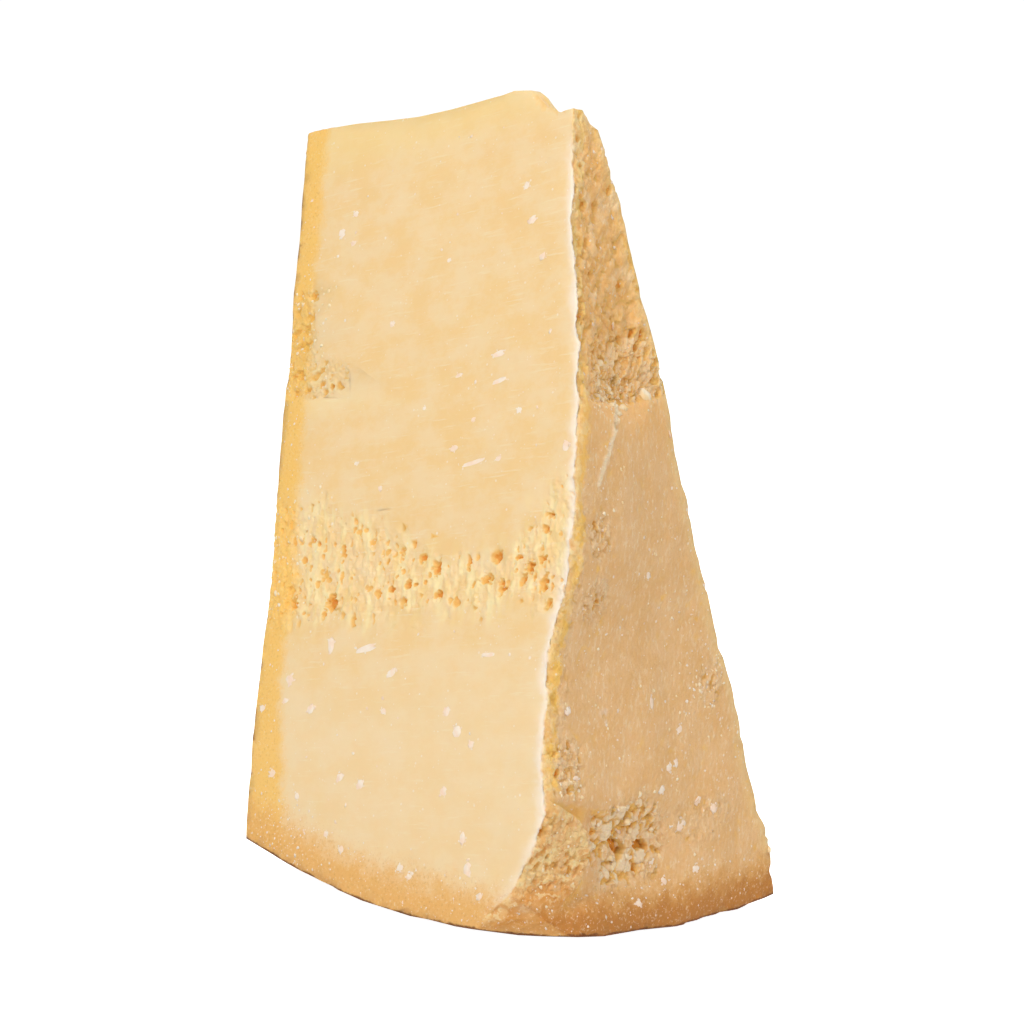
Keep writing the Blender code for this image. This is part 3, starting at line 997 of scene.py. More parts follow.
def new_group(name: str, inputs: dict[str, tuple[str, float]], outputs: dict[str, str]) -> tuple:
    """Makes an empty shader node group.

    Args:
        name: the group's name.
        inputs: each input's name, with its socket type and default.
        outputs: each output's name, with its socket type.

    Returns:
        The group, its graph, and the sockets that bring the inputs in.
    """
    tree = bpy.data.node_groups.new(name, "ShaderNodeTree")
    for label, (kind, default) in inputs.items():
        socket = tree.interface.new_socket(label, in_out="INPUT", socket_type=kind)
        if kind == "NodeSocketFloat":
            socket.default_value = default
    for label, kind in outputs.items():
        tree.interface.new_socket(label, in_out="OUTPUT", socket_type=kind)
    graph = Graph(tree)
    return tree, graph, graph.add("NodeGroupInput").outputs


def close_group(graph: Graph, results: dict[str, Socket]) -> None:
    """Links the results to the group's outputs."""
    graph.add("NodeGroupOutput", results)


@dataclass(frozen=True)
class PasteTones:
    """The cheese's own colours, and the tones of the light and shade painted on it."""

    straw: tuple[float, ...] = linear(248, 217, 168)
    warm: tuple[float, ...] = linear(246, 208, 146)
    cream: tuple[float, ...] = linear(250, 226, 186)
    # Painted highlight along the front edge:
    pale: tuple[float, ...] = linear(255, 235, 215)
    golden: tuple[float, ...] = linear(250, 216, 146)
    # The broken faces' tone, partly their own and partly painted shade:
    tan: tuple[float, ...] = linear(238, 192, 135)
    tan_warm: tuple[float, ...] = linear(234, 184, 121)
    # Painted glow where light shines through the broken side of the front edge, low and near the tip:
    strip: tuple[float, ...] = linear(255, 197, 82)
    strip_top: tuple[float, ...] = linear(255, 208, 116)
    dull: tuple[float, ...] = linear(232, 176, 96)
    side: tuple[float, ...] = linear(255, 199, 96)
    foot: tuple[float, ...] = linear(244, 188, 106)
    foot_deep: tuple[float, ...] = linear(193, 124, 50)
    flake: tuple[float, ...] = linear(220, 140, 34)
    curd: tuple[float, ...] = linear(255, 230, 176)
    crumb: tuple[float, ...] = linear(255, 230, 194)
    # Painted light on the chip's facet and the strip by the front edge:
    glow: tuple[float, ...] = linear(255, 214, 148)
    amber: tuple[float, ...] = linear(251, 187, 97)
    # Painted warm shade in hollows, and in the deepest of them:
    pit: tuple[float, ...] = linear(246, 196, 110)
    pit_shade_deep: tuple[float, ...] = linear(232, 156, 60)
    chalk: tuple[float, ...] = linear(255, 238, 222)
    skin: tuple[float, ...] = linear(184, 126, 62)
    skin_dark: tuple[float, ...] = linear(122, 66, 20)
    skin_light: tuple[float, ...] = linear(210, 160, 94)


TONES = PasteTones()
NUMBER, PLACE = "NodeSocketFloat", "NodeSocketVector"
# For each size of white speck: cells per millimetre, share of cells, size in cells, and strength.
SPECK_SIZES = ((0.22, 0.12, 0.12, 0.75), (0.5, 0.10, 0.20, 0.6), (0.95, 0.10, 0.25, 0.5))
GRAIN_HEIGHT = 0.0004
CLOTH_HEIGHT = 0.00012


class PasteGroups:
    """The node groups that the cheese's materials share."""

    def __init__(self) -> None:
        """Builds every group once."""
        self.grain = self._grain()
        self.chalk_specks = self._chalk_specks()
        self.weave = self._weave()

    @staticmethod
    def _grain() -> bpy.types.NodeTree:
        """Fine grain of the paste: a height in metres."""
        tree, graph, inputs = new_group(
            "paste grain", {"Place": (PLACE, 0.0), "Coarse": (NUMBER, 0.5)}, {"Height": NUMBER}
        )
        fine = graph.noise(inputs["Place"], 1.0, 5.0, 0.65)
        dots = graph.cells(inputs["Place"], 0.85).outputs["Distance"]
        dots = graph.times(dots, inputs["Coarse"])
        total = graph.math("ADD", fine, graph.times(dots, -0.8))
        close_group(graph, {"Height": graph.times(total, GRAIN_HEIGHT)})
        return tree

    @staticmethod
    def _chalk_specks() -> bpy.types.NodeTree:
        """Tiny white crystals, seen as specks: a mask."""
        tree, graph, inputs = new_group(
            "chalk specks",
            {"Place": (PLACE, 0.0), "Scale": (NUMBER, 0.4), "Share": (NUMBER, 0.3), "Size": (NUMBER, 0.2)},
            {"Mask": NUMBER},
        )
        node = graph.cells(inputs["Place"], inputs["Scale"])
        own = graph.add("ShaderNodeSeparateColor", {0: node.outputs["Color"]}).outputs[0]
        chosen = graph.math("LESS_THAN", own, inputs["Share"])
        near = graph.math("DIVIDE", node.outputs["Distance"], inputs["Size"])
        close_group(graph, {"Mask": graph.times(graph.step(near, 1.0, 0.55), chosen)})
        return tree

    @staticmethod
    def _weave() -> bpy.types.NodeTree:
        """The print of the cheesecloth on the rind: a height from 0 to 1."""
        tree, graph, inputs = new_group("cloth print", {"Place": (PLACE, 0.0)}, {"Height": NUMBER})
        turned = graph.add("ShaderNodeMapping", {"Vector": inputs["Place"], "Rotation": (0.4, 0.3, 0.5)})
        given = {"Vector": turned.outputs[0], "Scale": 0.55, "Distortion": 1.2, "Detail": 2.0}
        first, second, third = (
            graph.add("ShaderNodeTexWave", given, bands_direction=way).outputs["Fac"] for way in "XYZ"
        )
        total = graph.math("ADD", graph.times(first, second), graph.times(third, 0.5))
        close_group(graph, {"Height": total})
        return tree


@dataclass(frozen=True)
class WedgeFinish:
    """The wedge's own material: paste, darker border and rind in one."""

    name: str = "cheese_paste_and_rind"
    roughness: float = 0.5
    subsurface: float = 0.35
    subsurface_depth: float = 0.0012

    def build(self, groups: PasteGroups) -> bpy.types.Material:
        """Builds the material.

        Args:
            groups: the shared node groups.

        Returns:
            The material.
        """
        material = bpy.data.materials.new(self.name)
        material.use_nodes = True
        graph = Graph(material.node_tree)
        shader = material.node_tree.nodes["Principled BSDF"]
        shader.inputs["Subsurface Weight"].default_value = self.subsurface
        shader.inputs["Subsurface Radius"].default_value = (1.0, 0.75, 0.5)
        shader.inputs["Subsurface Scale"].default_value = self.subsurface_depth
        shader.inputs["Specular IOR Level"].default_value = 0.35

        place = graph.attribute("wheel_place", vector=True)
        colour = self._paste(graph, groups, place)
        colour = self._border(graph, place, colour)
        skin = graph.ramp("skin", 0.35, 0.65)
        colour = graph.mix(skin, colour, self._skin(graph, groups, place))
        graph.tree.links.new(colour, shader.inputs["Base Color"])

        rough = graph.times(graph.noise(place, 0.4), 0.22)
        rough = graph.math("ADD", rough, self.roughness - 0.08)
        rough = graph.math("ADD", rough, graph.times(graph.attribute("crumbly"), 0.12))
        graph.tree.links.new(rough, shader.inputs["Roughness"])
        graph.tree.links.new(self._normal(graph, groups, place, skin), shader.inputs["Normal"])
        return material

    @staticmethod
    def _paste(graph: Graph, groups: PasteGroups, place: Socket) -> Socket:
        """The paste's colour: soft mottling, drag streaks and specks, and painted shade and light."""
        mottle = graph.noise(graph.stretched(place, (0.07, 0.08, 0.11)), 1.0, 5.0, 0.65)
        mottle = graph.step(mottle, 0.36, 0.64)
        colour = graph.mix(mottle, TONES.straw, TONES.warm)
        # The broken faces are tan: partly their own tone, partly painted shade.
        broken = graph.attribute("broken")
        colour = graph.mix(broken, colour, graph.mix(mottle, TONES.tan, TONES.tan_warm))

        streaks = graph.noise(graph.stretched(place, (0.09, 0.3, 1.0)), 1.0, 4.0, 0.65)
        smooth_part = graph.math("SUBTRACT", 1.0, broken)
        streaks = graph.times(graph.step(streaks, 0.56, 0.7), smooth_part)
        colour = graph.tint(colour, streaks, 0.6, TONES.cream)

        upper = graph.times(graph.ramp("radius", 112.0, 70.0), broken)
        colour = graph.tint(colour, upper, 0.8, TONES.amber)
        warm = graph.step(graph.noise(graph.stretched(place, (0.3, 0.3, 0.09)), 1.0, 2.0, 0.5), 0.5, 0.62)
        warm = graph.times(warm, graph.attribute("torn"))
        colour = graph.tint(colour, warm, 0.55, TONES.golden)
        strokes = graph.noise(graph.stretched(place, (0.3, 0.3, 0.12)), 1.0, 2.0, 0.5)
        strokes = graph.times(graph.step(strokes, 0.45, 0.65), graph.attribute("torn"))
        colour = graph.tint(colour, strokes, 0.85, TONES.curd)

        low = graph.times(graph.ramp("radius", 135.0, 165.0), smooth_part)
        colour = graph.tint(colour, low, 0.35, TONES.cream)

        fibres = graph.noise(graph.stretched(place, (0.8, 0.9, 0.4)), 1.0, 5.0, 0.75)
        light = graph.times(graph.step(fibres, 0.5, 0.68), broken)
        colour = graph.tint(colour, light, 0.55, TONES.cream)
        dull = graph.times(graph.step(fibres, 0.45, 0.3), broken)
        colour = graph.tint(colour, dull, 0.5, TONES.dull)

        # Painted light: the thin tip glows golden, as light shines through it.
        thin = graph.ramp("radius", 20.0, 6.0)
        colour = graph.tint(colour, thin, 0.6, TONES.golden)
        back_glow = graph.times(graph.ramp("near_back", 4.5, 0.5), broken)
        colour = graph.tint(colour, back_glow, 0.5, TONES.golden)
        # Painted light: golden glow on the broken side of the front edge, lit through, its own tone near the
        # tip.
        ragged = graph.times(graph.math("SUBTRACT", graph.noise(place, 0.22, 4.0, 0.6), 0.5), 9.0)
        strip = graph.step(graph.math("ADD", graph.attribute("near_cut"), ragged), 5.0, 3.0)
        strip = graph.times(strip, broken)
        upper = graph.ramp("radius", 95.0, 60.0)
        strip_tone = graph.mix(upper, TONES.strip, TONES.strip_top)
        colour = graph.tint(colour, strip, 0.92, strip_tone)
        flakes = graph.times(graph.step(graph.noise(place, 0.35, 3.0, 0.6), 0.52, 0.6), strip)
        colour = graph.tint(colour, flakes, 0.35, TONES.cream)
        # Painted light on the chip's facet, the flake and the strip by the front edge.
        colour = graph.tint(colour, graph.attribute("golden"), 0.8, TONES.glow)
        glow = graph.times(graph.ramp("near_broken", 7.0, 0.0), smooth_part)
        colour = graph.tint(colour, glow, 0.3, TONES.cream)

        # Pale crumbs and scratches, and the painted highlight on crests.
        crumb = graph.mix(broken, TONES.curd, TONES.crumb)
        colour = graph.tint(colour, graph.attribute("pale"), 0.8, crumb)
        # Painted warm shade in hollows, strongest where they are deepest.
        hollow_shade = graph.times(graph.attribute("hollow_shade"), graph.ramp("radius", 8.0, 22.0))
        colour = graph.mix(graph.step(hollow_shade, 0.1, 0.6), colour, TONES.pit)
        colour = graph.mix(graph.step(hollow_shade, 0.65, 1.0), colour, TONES.pit_shade_deep)
        # Painted highlight along the front edge, kept out of hollows and weaker near the rind.
        wear_and_highlight = graph.times(graph.attribute("wear_and_highlight"), graph.step(hollow_shade, 0.5, 0.1))
        lower = graph.times(graph.ramp("near_curve", 32.0, 14.0), 0.4)
        wear_and_highlight = graph.times(wear_and_highlight, graph.math("SUBTRACT", 0.85, lower))
        colour = graph.mix(wear_and_highlight, colour, TONES.pale)
        for scale, share, size, strength in SPECK_SIZES:
            specks = graph.group(
                groups.chalk_specks, {"Place": place, "Scale": scale, "Share": share, "Size": size}
            )
            colour = graph.tint(colour, specks, strength, TONES.chalk)
        return colour

    @staticmethod
    def _border(graph: Graph, place: Socket, colour: Socket) -> Socket:
        """Darkens the paste towards the rind, where it has dried, and paints light by the front edge."""
        wander = graph.math("SUBTRACT", graph.noise(place, 0.22, 6.0, 0.7), 0.5)
        side = graph.math("ADD", graph.attribute("near_flat"), graph.times(wander, 9.0))
        wider = graph.times(graph.ramp("near_curve", 45.0, 12.0), 6.0)
        side = graph.math("SUBTRACT", side, wider)
        colour = graph.tint(colour, graph.step(side, 12.5, 6.5), 0.8, TONES.side)
        foot = graph.math("ADD", graph.attribute("near_curve"), graph.times(wander, 14.0))
        colour = graph.tint(colour, graph.step(foot, 14.0, 4.0), 0.9, TONES.foot)
        broken = graph.attribute("broken")
        deep = graph.times(graph.step(foot, 13.0, 3.0), graph.math("ADD", broken, 0.12, clamp=True))
        colour = graph.tint(colour, deep, 0.9, TONES.foot_deep)
        # Painted light on the flake near the rind, kept off shade and pale crumbs, deep orange where burnt.
        above = graph.ramp("near_curve", 0.8, 4.0)
        own = graph.math("MAXIMUM", graph.attribute("hollow_shade"), graph.attribute("pale"))
        flake = graph.times(graph.attribute("golden"), graph.step(own, 0.9, 0.1))
        flake = graph.times(flake, above)
        blotch = graph.step(graph.noise(place, 0.3, 4.0, 0.65), 0.42, 0.56)
        burnt = graph.ramp("near_curve", 18.0, 11.0)
        burnt = graph.times(burnt, graph.ramp("near_cut", 1.5, 5.0))
        burnt = graph.math("ADD", graph.times(burnt, 0.7), graph.times(blotch, 0.6), clamp=True)
        colour = graph.tint(colour, flake, 0.8, graph.mix(burnt, TONES.glow, TONES.flake))
        crumbs = graph.times(graph.step(graph.noise(place, 0.5, 3.0, 0.6), 0.55, 0.61), flake)
        colour = graph.tint(colour, crumbs, 0.65, TONES.curd)
        # More painted highlight along the front edge, away from the rind.
        line = graph.times(graph.attribute("wear_and_highlight"), graph.ramp("near_curve", 12.0, 34.0))
        colour = graph.tint(colour, line, 0.45, TONES.pale)
        speckle = graph.noise(place, 1.3, 3.0, 0.7)
        near = graph.ramp("near_curve", 16.0, 8.0)
        near = graph.math("MAXIMUM", near, graph.times(graph.step(side, 12.0, 8.0), 0.8))
        light = graph.times(graph.step(speckle, 0.56, 0.66), near)
        colour = graph.tint(colour, light, 0.5, TONES.cream)
        dark = graph.times(graph.step(speckle, 0.44, 0.34), near)
        dark = graph.times(dark, graph.ramp("golden", 0.8, 0.1))
        colour = graph.tint(colour, dark, 0.28, TONES.skin)
        ragged = graph.times(graph.math("SUBTRACT", graph.noise(place, 0.5, 3.0, 0.6), 0.5), 0.8)
        line = graph.step(graph.math("ADD", graph.attribute("along_curve"), ragged), 1.0, 0.5)
        return graph.tint(colour, line, 0.9, TONES.skin_dark)

    @staticmethod
    def _skin(graph: Graph, groups: PasteGroups, place: Socket) -> Socket:
        """The rind's colour: oiled tan, patchy, with dark print between the cloth's threads."""
        patches = graph.step(graph.noise(place, 0.05, 4.0, 0.6), 0.38, 0.62)
        colour = graph.mix(patches, TONES.skin, TONES.skin_light)
        scuffs = graph.step(graph.noise(place, 0.35, 5.0, 0.7), 0.55, 0.7)
        colour = graph.tint(colour, scuffs, 0.4, TONES.skin_dark)
        threads = graph.step(graph.group(groups.weave, {"Place": place}), 0.5, 0.2)
        colour = graph.tint(colour, threads, 0.18, TONES.skin_dark)
        edge = graph.math("MINIMUM", graph.attribute("near_cut"), graph.attribute("near_broken"))
        rim = graph.times(graph.step(edge, 7.0, 1.0), graph.ramp("near_curve", 1.0, 0.5))
        return graph.tint(colour, rim, 0.85, TONES.skin_dark)

    @staticmethod
    def _normal(
        graph: Graph, groups: PasteGroups, place: Socket, skin: Socket
    ) -> Socket:
        """The finest relief: grain on the paste, and the cloth's print on the rind."""
        coarse = graph.attribute("rough_skin")
        amount = graph.math("ADD", graph.times(coarse, 0.85), 0.15)
        height = graph.times(graph.group(groups.grain, {"Place": place, "Coarse": coarse}), amount)
        cloth = graph.times(graph.times(graph.group(groups.weave, {"Place": place}), CLOTH_HEIGHT), skin)
        total = graph.math("ADD", height, cloth)
        bump = graph.add("ShaderNodeBump", {"Strength": 1.0, "Distance": 1.0, "Height": total})
        return bump.outputs["Normal"]


@dataclass
class WedgeBody:
    """The wedge itself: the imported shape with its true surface.

    Rounds count passes of smoothing. A triangle is folded where it faces away from its corners' normals more
    than fold_facing allows, on ground less busy than fold_busy and more than fold_edge mm inside a face.
    """

    wheel: Wheel
    voxel: float = 0.0005
    triangles: int = 194_000
    even_rounds: int = 120
    edge_rounds: int = 5
    cavity_rounds: int = 24
    calm_weight: float = 0.4
    fold_facing: float = 0.9
    fold_busy: float = 0.12
    fold_edge: float = 1.2
    back_out: float = 2.1
    corner_up: float = 2.6
    foot_down: float = 1.3
    cut: CutFace = CutFace()
    broken: BrokenFace = BrokenFace()
    back: BackFace = BackFace()
    edge: FrontEdge = FrontEdge()
    trees: dict[Face, BVHTree] = field(default_factory=dict, init=False)

    def build(self, groups: PasteGroups) -> bpy.types.Object:
        """Makes the body's mesh and dresses it."""
        body = self._fine_copy()
        self._carve(body)
        self._thin(body)
        self._unfold(body)
        self._mark(body)
        body.data.materials.clear()
        body.data.materials.append(WedgeFinish().build(groups))
        body.data.shade_smooth()
        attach(body, BODY)
        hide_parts(NODE)
        LOG.info("wedge_body: %d triangles", sum(len(p.vertices) - 2 for p in body.data.polygons))
        return body

    def _places(self, body: bpy.types.Object) -> Places:
        """Where the body's vertices lie on the wheel as they are now."""
        return Places(self.wheel, read_vertices(body.data, "co"), read_vertices(body.data, "normal"))

    def _fine_copy(self) -> bpy.types.Object:
        """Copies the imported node, merges it and gives it an even fine grid."""
        source = frame["nodes"][NODE]
        body = bpy.data.objects.new("wedge_body", source.data.copy())
        bpy.context.scene.collection.objects.link(body)
        only(body)
        bpy.ops.object.mode_set(mode="EDIT")
        bpy.ops.mesh.select_all(action="SELECT")
        bpy.ops.mesh.remove_doubles(threshold=0.00001)
        bpy.ops.object.mode_set(mode="OBJECT")
        self.trees = faces_of(source.data, self.wheel)
        apply_modifier(body, "REMESH", mode="VOXEL", voxel_size=self.voxel, adaptivity=0.0)
        self._smooth(body)
        self._refine(body)
        return body

    def _smooth(self, body: bpy.types.Object) -> None:
        """Takes the model's facets out of each face, and the grid's steps out of the edges."""
        places = self._places(body)
        rough = (Face.BROKEN, Face.BACK)
        limits = {face: (0.75, 0.95) if face in rough else (0.8, 0.93) for face in Face}
        inner = np.max([places.share(face, *limits[face]) for face in Face], axis=0)
        group = body.vertex_groups.new(name="inner")
        for level in range(1, 5):
            picked = np.nonzero((inner * 4).astype(int) == level)[0]
            group.add(picked.tolist(), level / 4.0, "REPLACE")
        apply_modifier(body, "SMOOTH", factor=0.5, iterations=self.even_rounds, vertex_group="inner")
        body.vertex_groups.clear()
        apply_modifier(body, "SMOOTH", factor=0.5, iterations=self.edge_rounds)

    def _refine(self, body: bpy.types.Object) -> None:
        """Splits the grid once more where the finest openings and crumbs go."""
        places = self._places(body)
        band = places.share(Face.CUT) * smooth_step(places.radius, 98.0, 100.0)
        band = band * smooth_step(places.radius, 146.0, 144.0)
        broken = places.share(Face.BROKEN, 0.35, 0.7)
        crumbly = self.broken.crumbled(places, Lattice(self.broken.seed)) * broken
        fine = (band > 0.5) | (crumbly > 0.4) | (broken * smooth_step(places.inward, 6.0, 4.0) > 0.5)
        sides = np.empty(len(body.data.loops), dtype=np.int32)
        body.data.loops.foreach_get("vertex_index", sides)
        starts = np.empty(len(body.data.polygons), dtype=np.int32)
        body.data.polygons.foreach_get("loop_start", starts)
        chosen = np.logical_and.reduceat(fine[sides], starts)
        only(body)
        bpy.ops.object.mode_set(mode="EDIT")
        bpy.ops.mesh.select_mode(type="FACE")
        bpy.ops.mesh.select_all(action="DESELECT")
        bpy.ops.object.mode_set(mode="OBJECT")
        body.data.polygons.foreach_set("select", chosen)
        bpy.ops.object.mode_set(mode="EDIT")
        bpy.ops.mesh.subdivide(number_cuts=1)
        bpy.ops.object.mode_set(mode="OBJECT")

    def _carve(self, body: bpy.types.Object) -> None:
        """Moves every vertex along its normal by the relief of the face that it is on."""
        points, normals = read_vertices(body.data, "co"), read_vertices(body.data, "normal")
        places = Places(self.wheel, points, normals)
        gaps = {face: distances(tree, points) for face, tree in self.trees.items()}
        relief = Relief.level(len(points))
        near_rind = np.minimum(gaps[Face.RIND], gaps[Face.FLAT])
        torn = self.cut.carve(places, near_rind, relief)
        self.broken.carve(places, relief)
        self.back.carve(places, relief)
        wear_and_highlight = self.edge.carve(places, gaps[Face.CUT], gaps[Face.BROKEN], relief)
        fade = 0.35 + 0.65 * smooth_step(near_rind, 0.0, 1.5)
        fade = fade * (0.5 + 0.5 * smooth_step(np.maximum(gaps[Face.BACK], gaps[Face.BROKEN]), 0.5, 3.5))
        faces = [(Face.CUT, 0.8, 0.95), (Face.BACK, 0.6, 0.9), (Face.BROKEN, 0.6, 0.9)]
        within = np.max([places.share(*entry) for entry in faces], axis=0)
        # The flake at the foot of the front edge gets golden painted light.
        flake = smooth_step(places.radius, 194.0, 200.0) * smooth_step(places.inward, 15.0, 6.0)
        flake *= (1.0 - places.share(Face.CUT, 0.85, 0.95)) * (1.0 - places.share(Face.RIND, 0.8, 0.95))
        flake *= 0.45 + 0.55 * smooth_step(gaps[Face.CUT], 6.0, 0.5)
        relief.raise_to("golden", flake)
        inland = smooth_step(np.maximum(gaps[Face.CUT], gaps[Face.BROKEN]), 0.8, 2.6)
        soft = averaged(body.data, relief.height, self.cavity_rounds)
        loose = relief.crumbly * places.share(Face.BROKEN)
        # Painted warm shade in cavities of the relief, less among loose crumbs on the broken face.
        cavity_shade = smooth_step((soft - relief.height) / (1.0 + 1.2 * loose), 0.05, 0.35) * inland
        # Painted highlight on crests of the crumbly and torn relief.
        crest_highlight = smooth_step(relief.height - soft, 0.06, 0.3) * np.clip(relief.crumbly + torn, 0.0, 1.0)
        relief.raise_to("pale", 0.6 * crest_highlight)
        relief.raise_to("hollow_shade", 0.6 * cavity_shade)
        moved = points + normals * (relief.height * fade * MM)[:, None]
        sideways = self.wheel.face_outward(Face.BROKEN) - self.wheel.face_outward(Face.CUT)
        moved += (relief.aside * MM)[:, None] * np.array(sideways.normalized())
        moved += self._fill(places)
        low, high = (np.array(corner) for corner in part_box(NODE))
        moved = np.clip(moved, low, high)
        body.data.vertices.foreach_set("co", moved.astype(np.float32).ravel())
        body.data.update()
        # Painted warm shade on steep walls, less among loose crumbs.
        slope = 1.0 - (read_vertices(body.data, "normal") * normals).sum(axis=1)
        steep_shade = averaged(body.data, smooth_step(slope, 0.08, 0.4), 2) * within * inland
        relief.raise_to("hollow_shade", (0.7 - 0.25 * loose) * steep_shade)
        rind = places.share(Face.RIND, 0.75, 0.9) * smooth_step(gaps[Face.RIND], 0.5, 0.2)
        flat = places.share(Face.FLAT, 0.67, 0.75) * smooth_step(gaps[Face.FLAT], 9.0, 7.0)
        skin = np.maximum(rind, flat)
        write_attribute(body.data, "skin", skin)
        write_attribute(body.data, "torn", torn)
        write_attribute(body.data, "wear_and_highlight", wear_and_highlight)
        write_attribute(body.data, "hollow_shade", relief.hollow_shade)
        write_attribute(body.data, "crumbly", relief.crumbly)
        write_attribute(body.data, "pale", relief.pale)
        write_attribute(body.data, "golden", relief.golden)
        slant = np.sqrt(np.clip(1.0 - places.facing[Face.RIND] ** 2, 0.02, 1.0))
        write_attribute(body.data, "along_curve", gaps[Face.RIND] / slant)
        for face, name in ((Face.FLAT, "near_flat"), (Face.RIND, "near_curve"), (Face.BACK, "near_back")):
            write_attribute(body.data, name, gaps[face])
        write_attribute(body.data, "near_cut", gaps[Face.CUT])
        write_attribute(body.data, "near_broken", gaps[Face.BROKEN])
        broken = np.maximum(places.share(Face.BROKEN, 0.35, 0.7), places.share(Face.BACK))
        write_attribute(body.data, "broken", broken)
        rough = np.clip(broken * 0.55 + relief.crumbly + torn * 0.2, 0.0, 1.0)
        write_attribute(body.data, "rough_skin", rough)
        keep = body.vertex_groups.new(name="calm")
        by_edge = smooth_step(gaps[Face.BROKEN], 12.0, 6.0) * places.share(Face.CUT, 0.2, 0.5)
        busy = relief.crumbly + torn + wear_and_highlight + 0.35 * places.share(Face.BROKEN) + 0.5 * by_edge
        busy = np.clip(busy, 0.0, 1.0)
        for level in range(10):
            picked = np.nonzero((busy * 10).astype(int) == level)[0]
            keep.add(picked.tolist(), 1.0 - level / 10.0, "REPLACE")

    def _fill(self, places: Places) -> np.ndarray:
        """How far whole sides move, in metres: the back out, the tip's corner up, the foot down."""
        back = self.back_out * smooth_step(places.to_back, 7.0, 0.5)
        back = back * smooth_step(places.radius, 18.0, 40.0) * smooth_step(places.radius, 214.0, 206.0)
        back += 1.2 * smooth_step(places.to_back, 7.0, 0.5) * hump(places.radius, 201.0, 6.0)
        corner = hump(places.inward, 4.2, 5.8) * smooth_step(places.radius, 21.0, 16.0)
        corner = self.corner_up * corner * smooth_step(places.axial, -8.0, -3.0)
        top = smooth_step(places.radius, 24.0, 6.0) * smooth_step(places.axial, -10.0, -16.0)
        top *= 0.7 + 0.5 * hump(places.axial, -18.0, 8.0)
        far = smooth_step(places.radius, 60.0, 25.0) * smooth_step(places.axial, -90.0, -102.0)
        foot = smooth_step(places.radius, 196.0, 208.0) * smooth_step(places.axial, -30.0, -6.0)
        foot *= smooth_step(places.inward, 38.0, 56.0) * smooth_step(places.inward, 90.0, 72.0)
        up = np.array(self.wheel.towards_tip(Face.BROKEN, 3.0, 15.0))
        move = back[:, None] * np.array(self.wheel.face_outward(Face.BACK))
        down = (self.foot_down * foot)[:, None] * np.array((0.0, 0.0, 1.0))
        move = move + (corner + top)[:, None] * up - down
        return MM * (move - far[:, None] * np.array(self.wheel.face_outward(Face.FLAT)))

    def _thin(self, body: bpy.types.Object) -> None:
        """Thins the mesh to its share of triangles, most where the surface is calm."""
        count = sum(len(p.vertices) - 2 for p in body.data.polygons)
        LOG.info("before thinning: %d triangles", count)
        apply_modifier(
            body,
            "DECIMATE",
            decimate_type="COLLAPSE",
            use_collapse_triangulate=True,
            ratio=self.triangles / count,
            vertex_group="calm",
            vertex_group_factor=self.calm_weight,
        )
        body.vertex_groups.clear()

    def _unfold(self, body: bpy.types.Object) -> None:
        """Smooths the few folded triangles that thinning leaves on calm ground."""
        mesh = body.data
        count = len(mesh.polygons)
        corners = np.empty(len(mesh.loops), dtype=np.int32)
        mesh.loops.foreach_get("vertex_index", corners)
        corners = corners.reshape(count, 3)
        facing = np.empty(count * 3, dtype=np.float32)
        mesh.polygons.foreach_get("normal", facing)
        leaning = facing.reshape(-1, 3)[:, None, :] * read_vertices(mesh, "normal")[corners]
        bend = leaning.sum(axis=2).min(axis=1)
        busy = read_attribute(mesh, "crumbly") + read_attribute(mesh, "torn") + read_attribute(mesh, "wear_and_highlight")
        names = ("near_flat", "near_curve", "near_back", "near_cut", "near_broken")
        inland = np.sort(np.array([read_attribute(mesh, name) for name in names]), axis=0)[1]
        folded = (bend < self.fold_facing) & (busy[corners].max(axis=1) < self.fold_busy)
        folded &= inland[corners].min(axis=1) > self.fold_edge
        LOG.info("smoothing %d folded triangles", int(folded.sum()))
        only(body)
        bpy.ops.object.mode_set(mode="EDIT")
        bpy.ops.mesh.select_mode(type="VERT")
        bpy.ops.mesh.select_all(action="DESELECT")
        bpy.ops.object.mode_set(mode="OBJECT")
        chosen = np.zeros(len(mesh.vertices), dtype=bool)
        chosen[corners[folded].ravel()] = True
        mesh.vertices.foreach_set("select", chosen)
        bpy.ops.object.mode_set(mode="EDIT")
        bpy.ops.mesh.vertices_smooth(factor=0.7, repeat=10)
        bpy.ops.object.mode_set(mode="OBJECT")

    def _mark(self, body: bpy.types.Object) -> None:
        """Stores where each vertex lies on the wheel, for patterns that follow it."""
        places = self._places(body)
        write_attribute(body.data, "wheel_place", places.solid)
        write_attribute(body.data, "radius", places.radius)


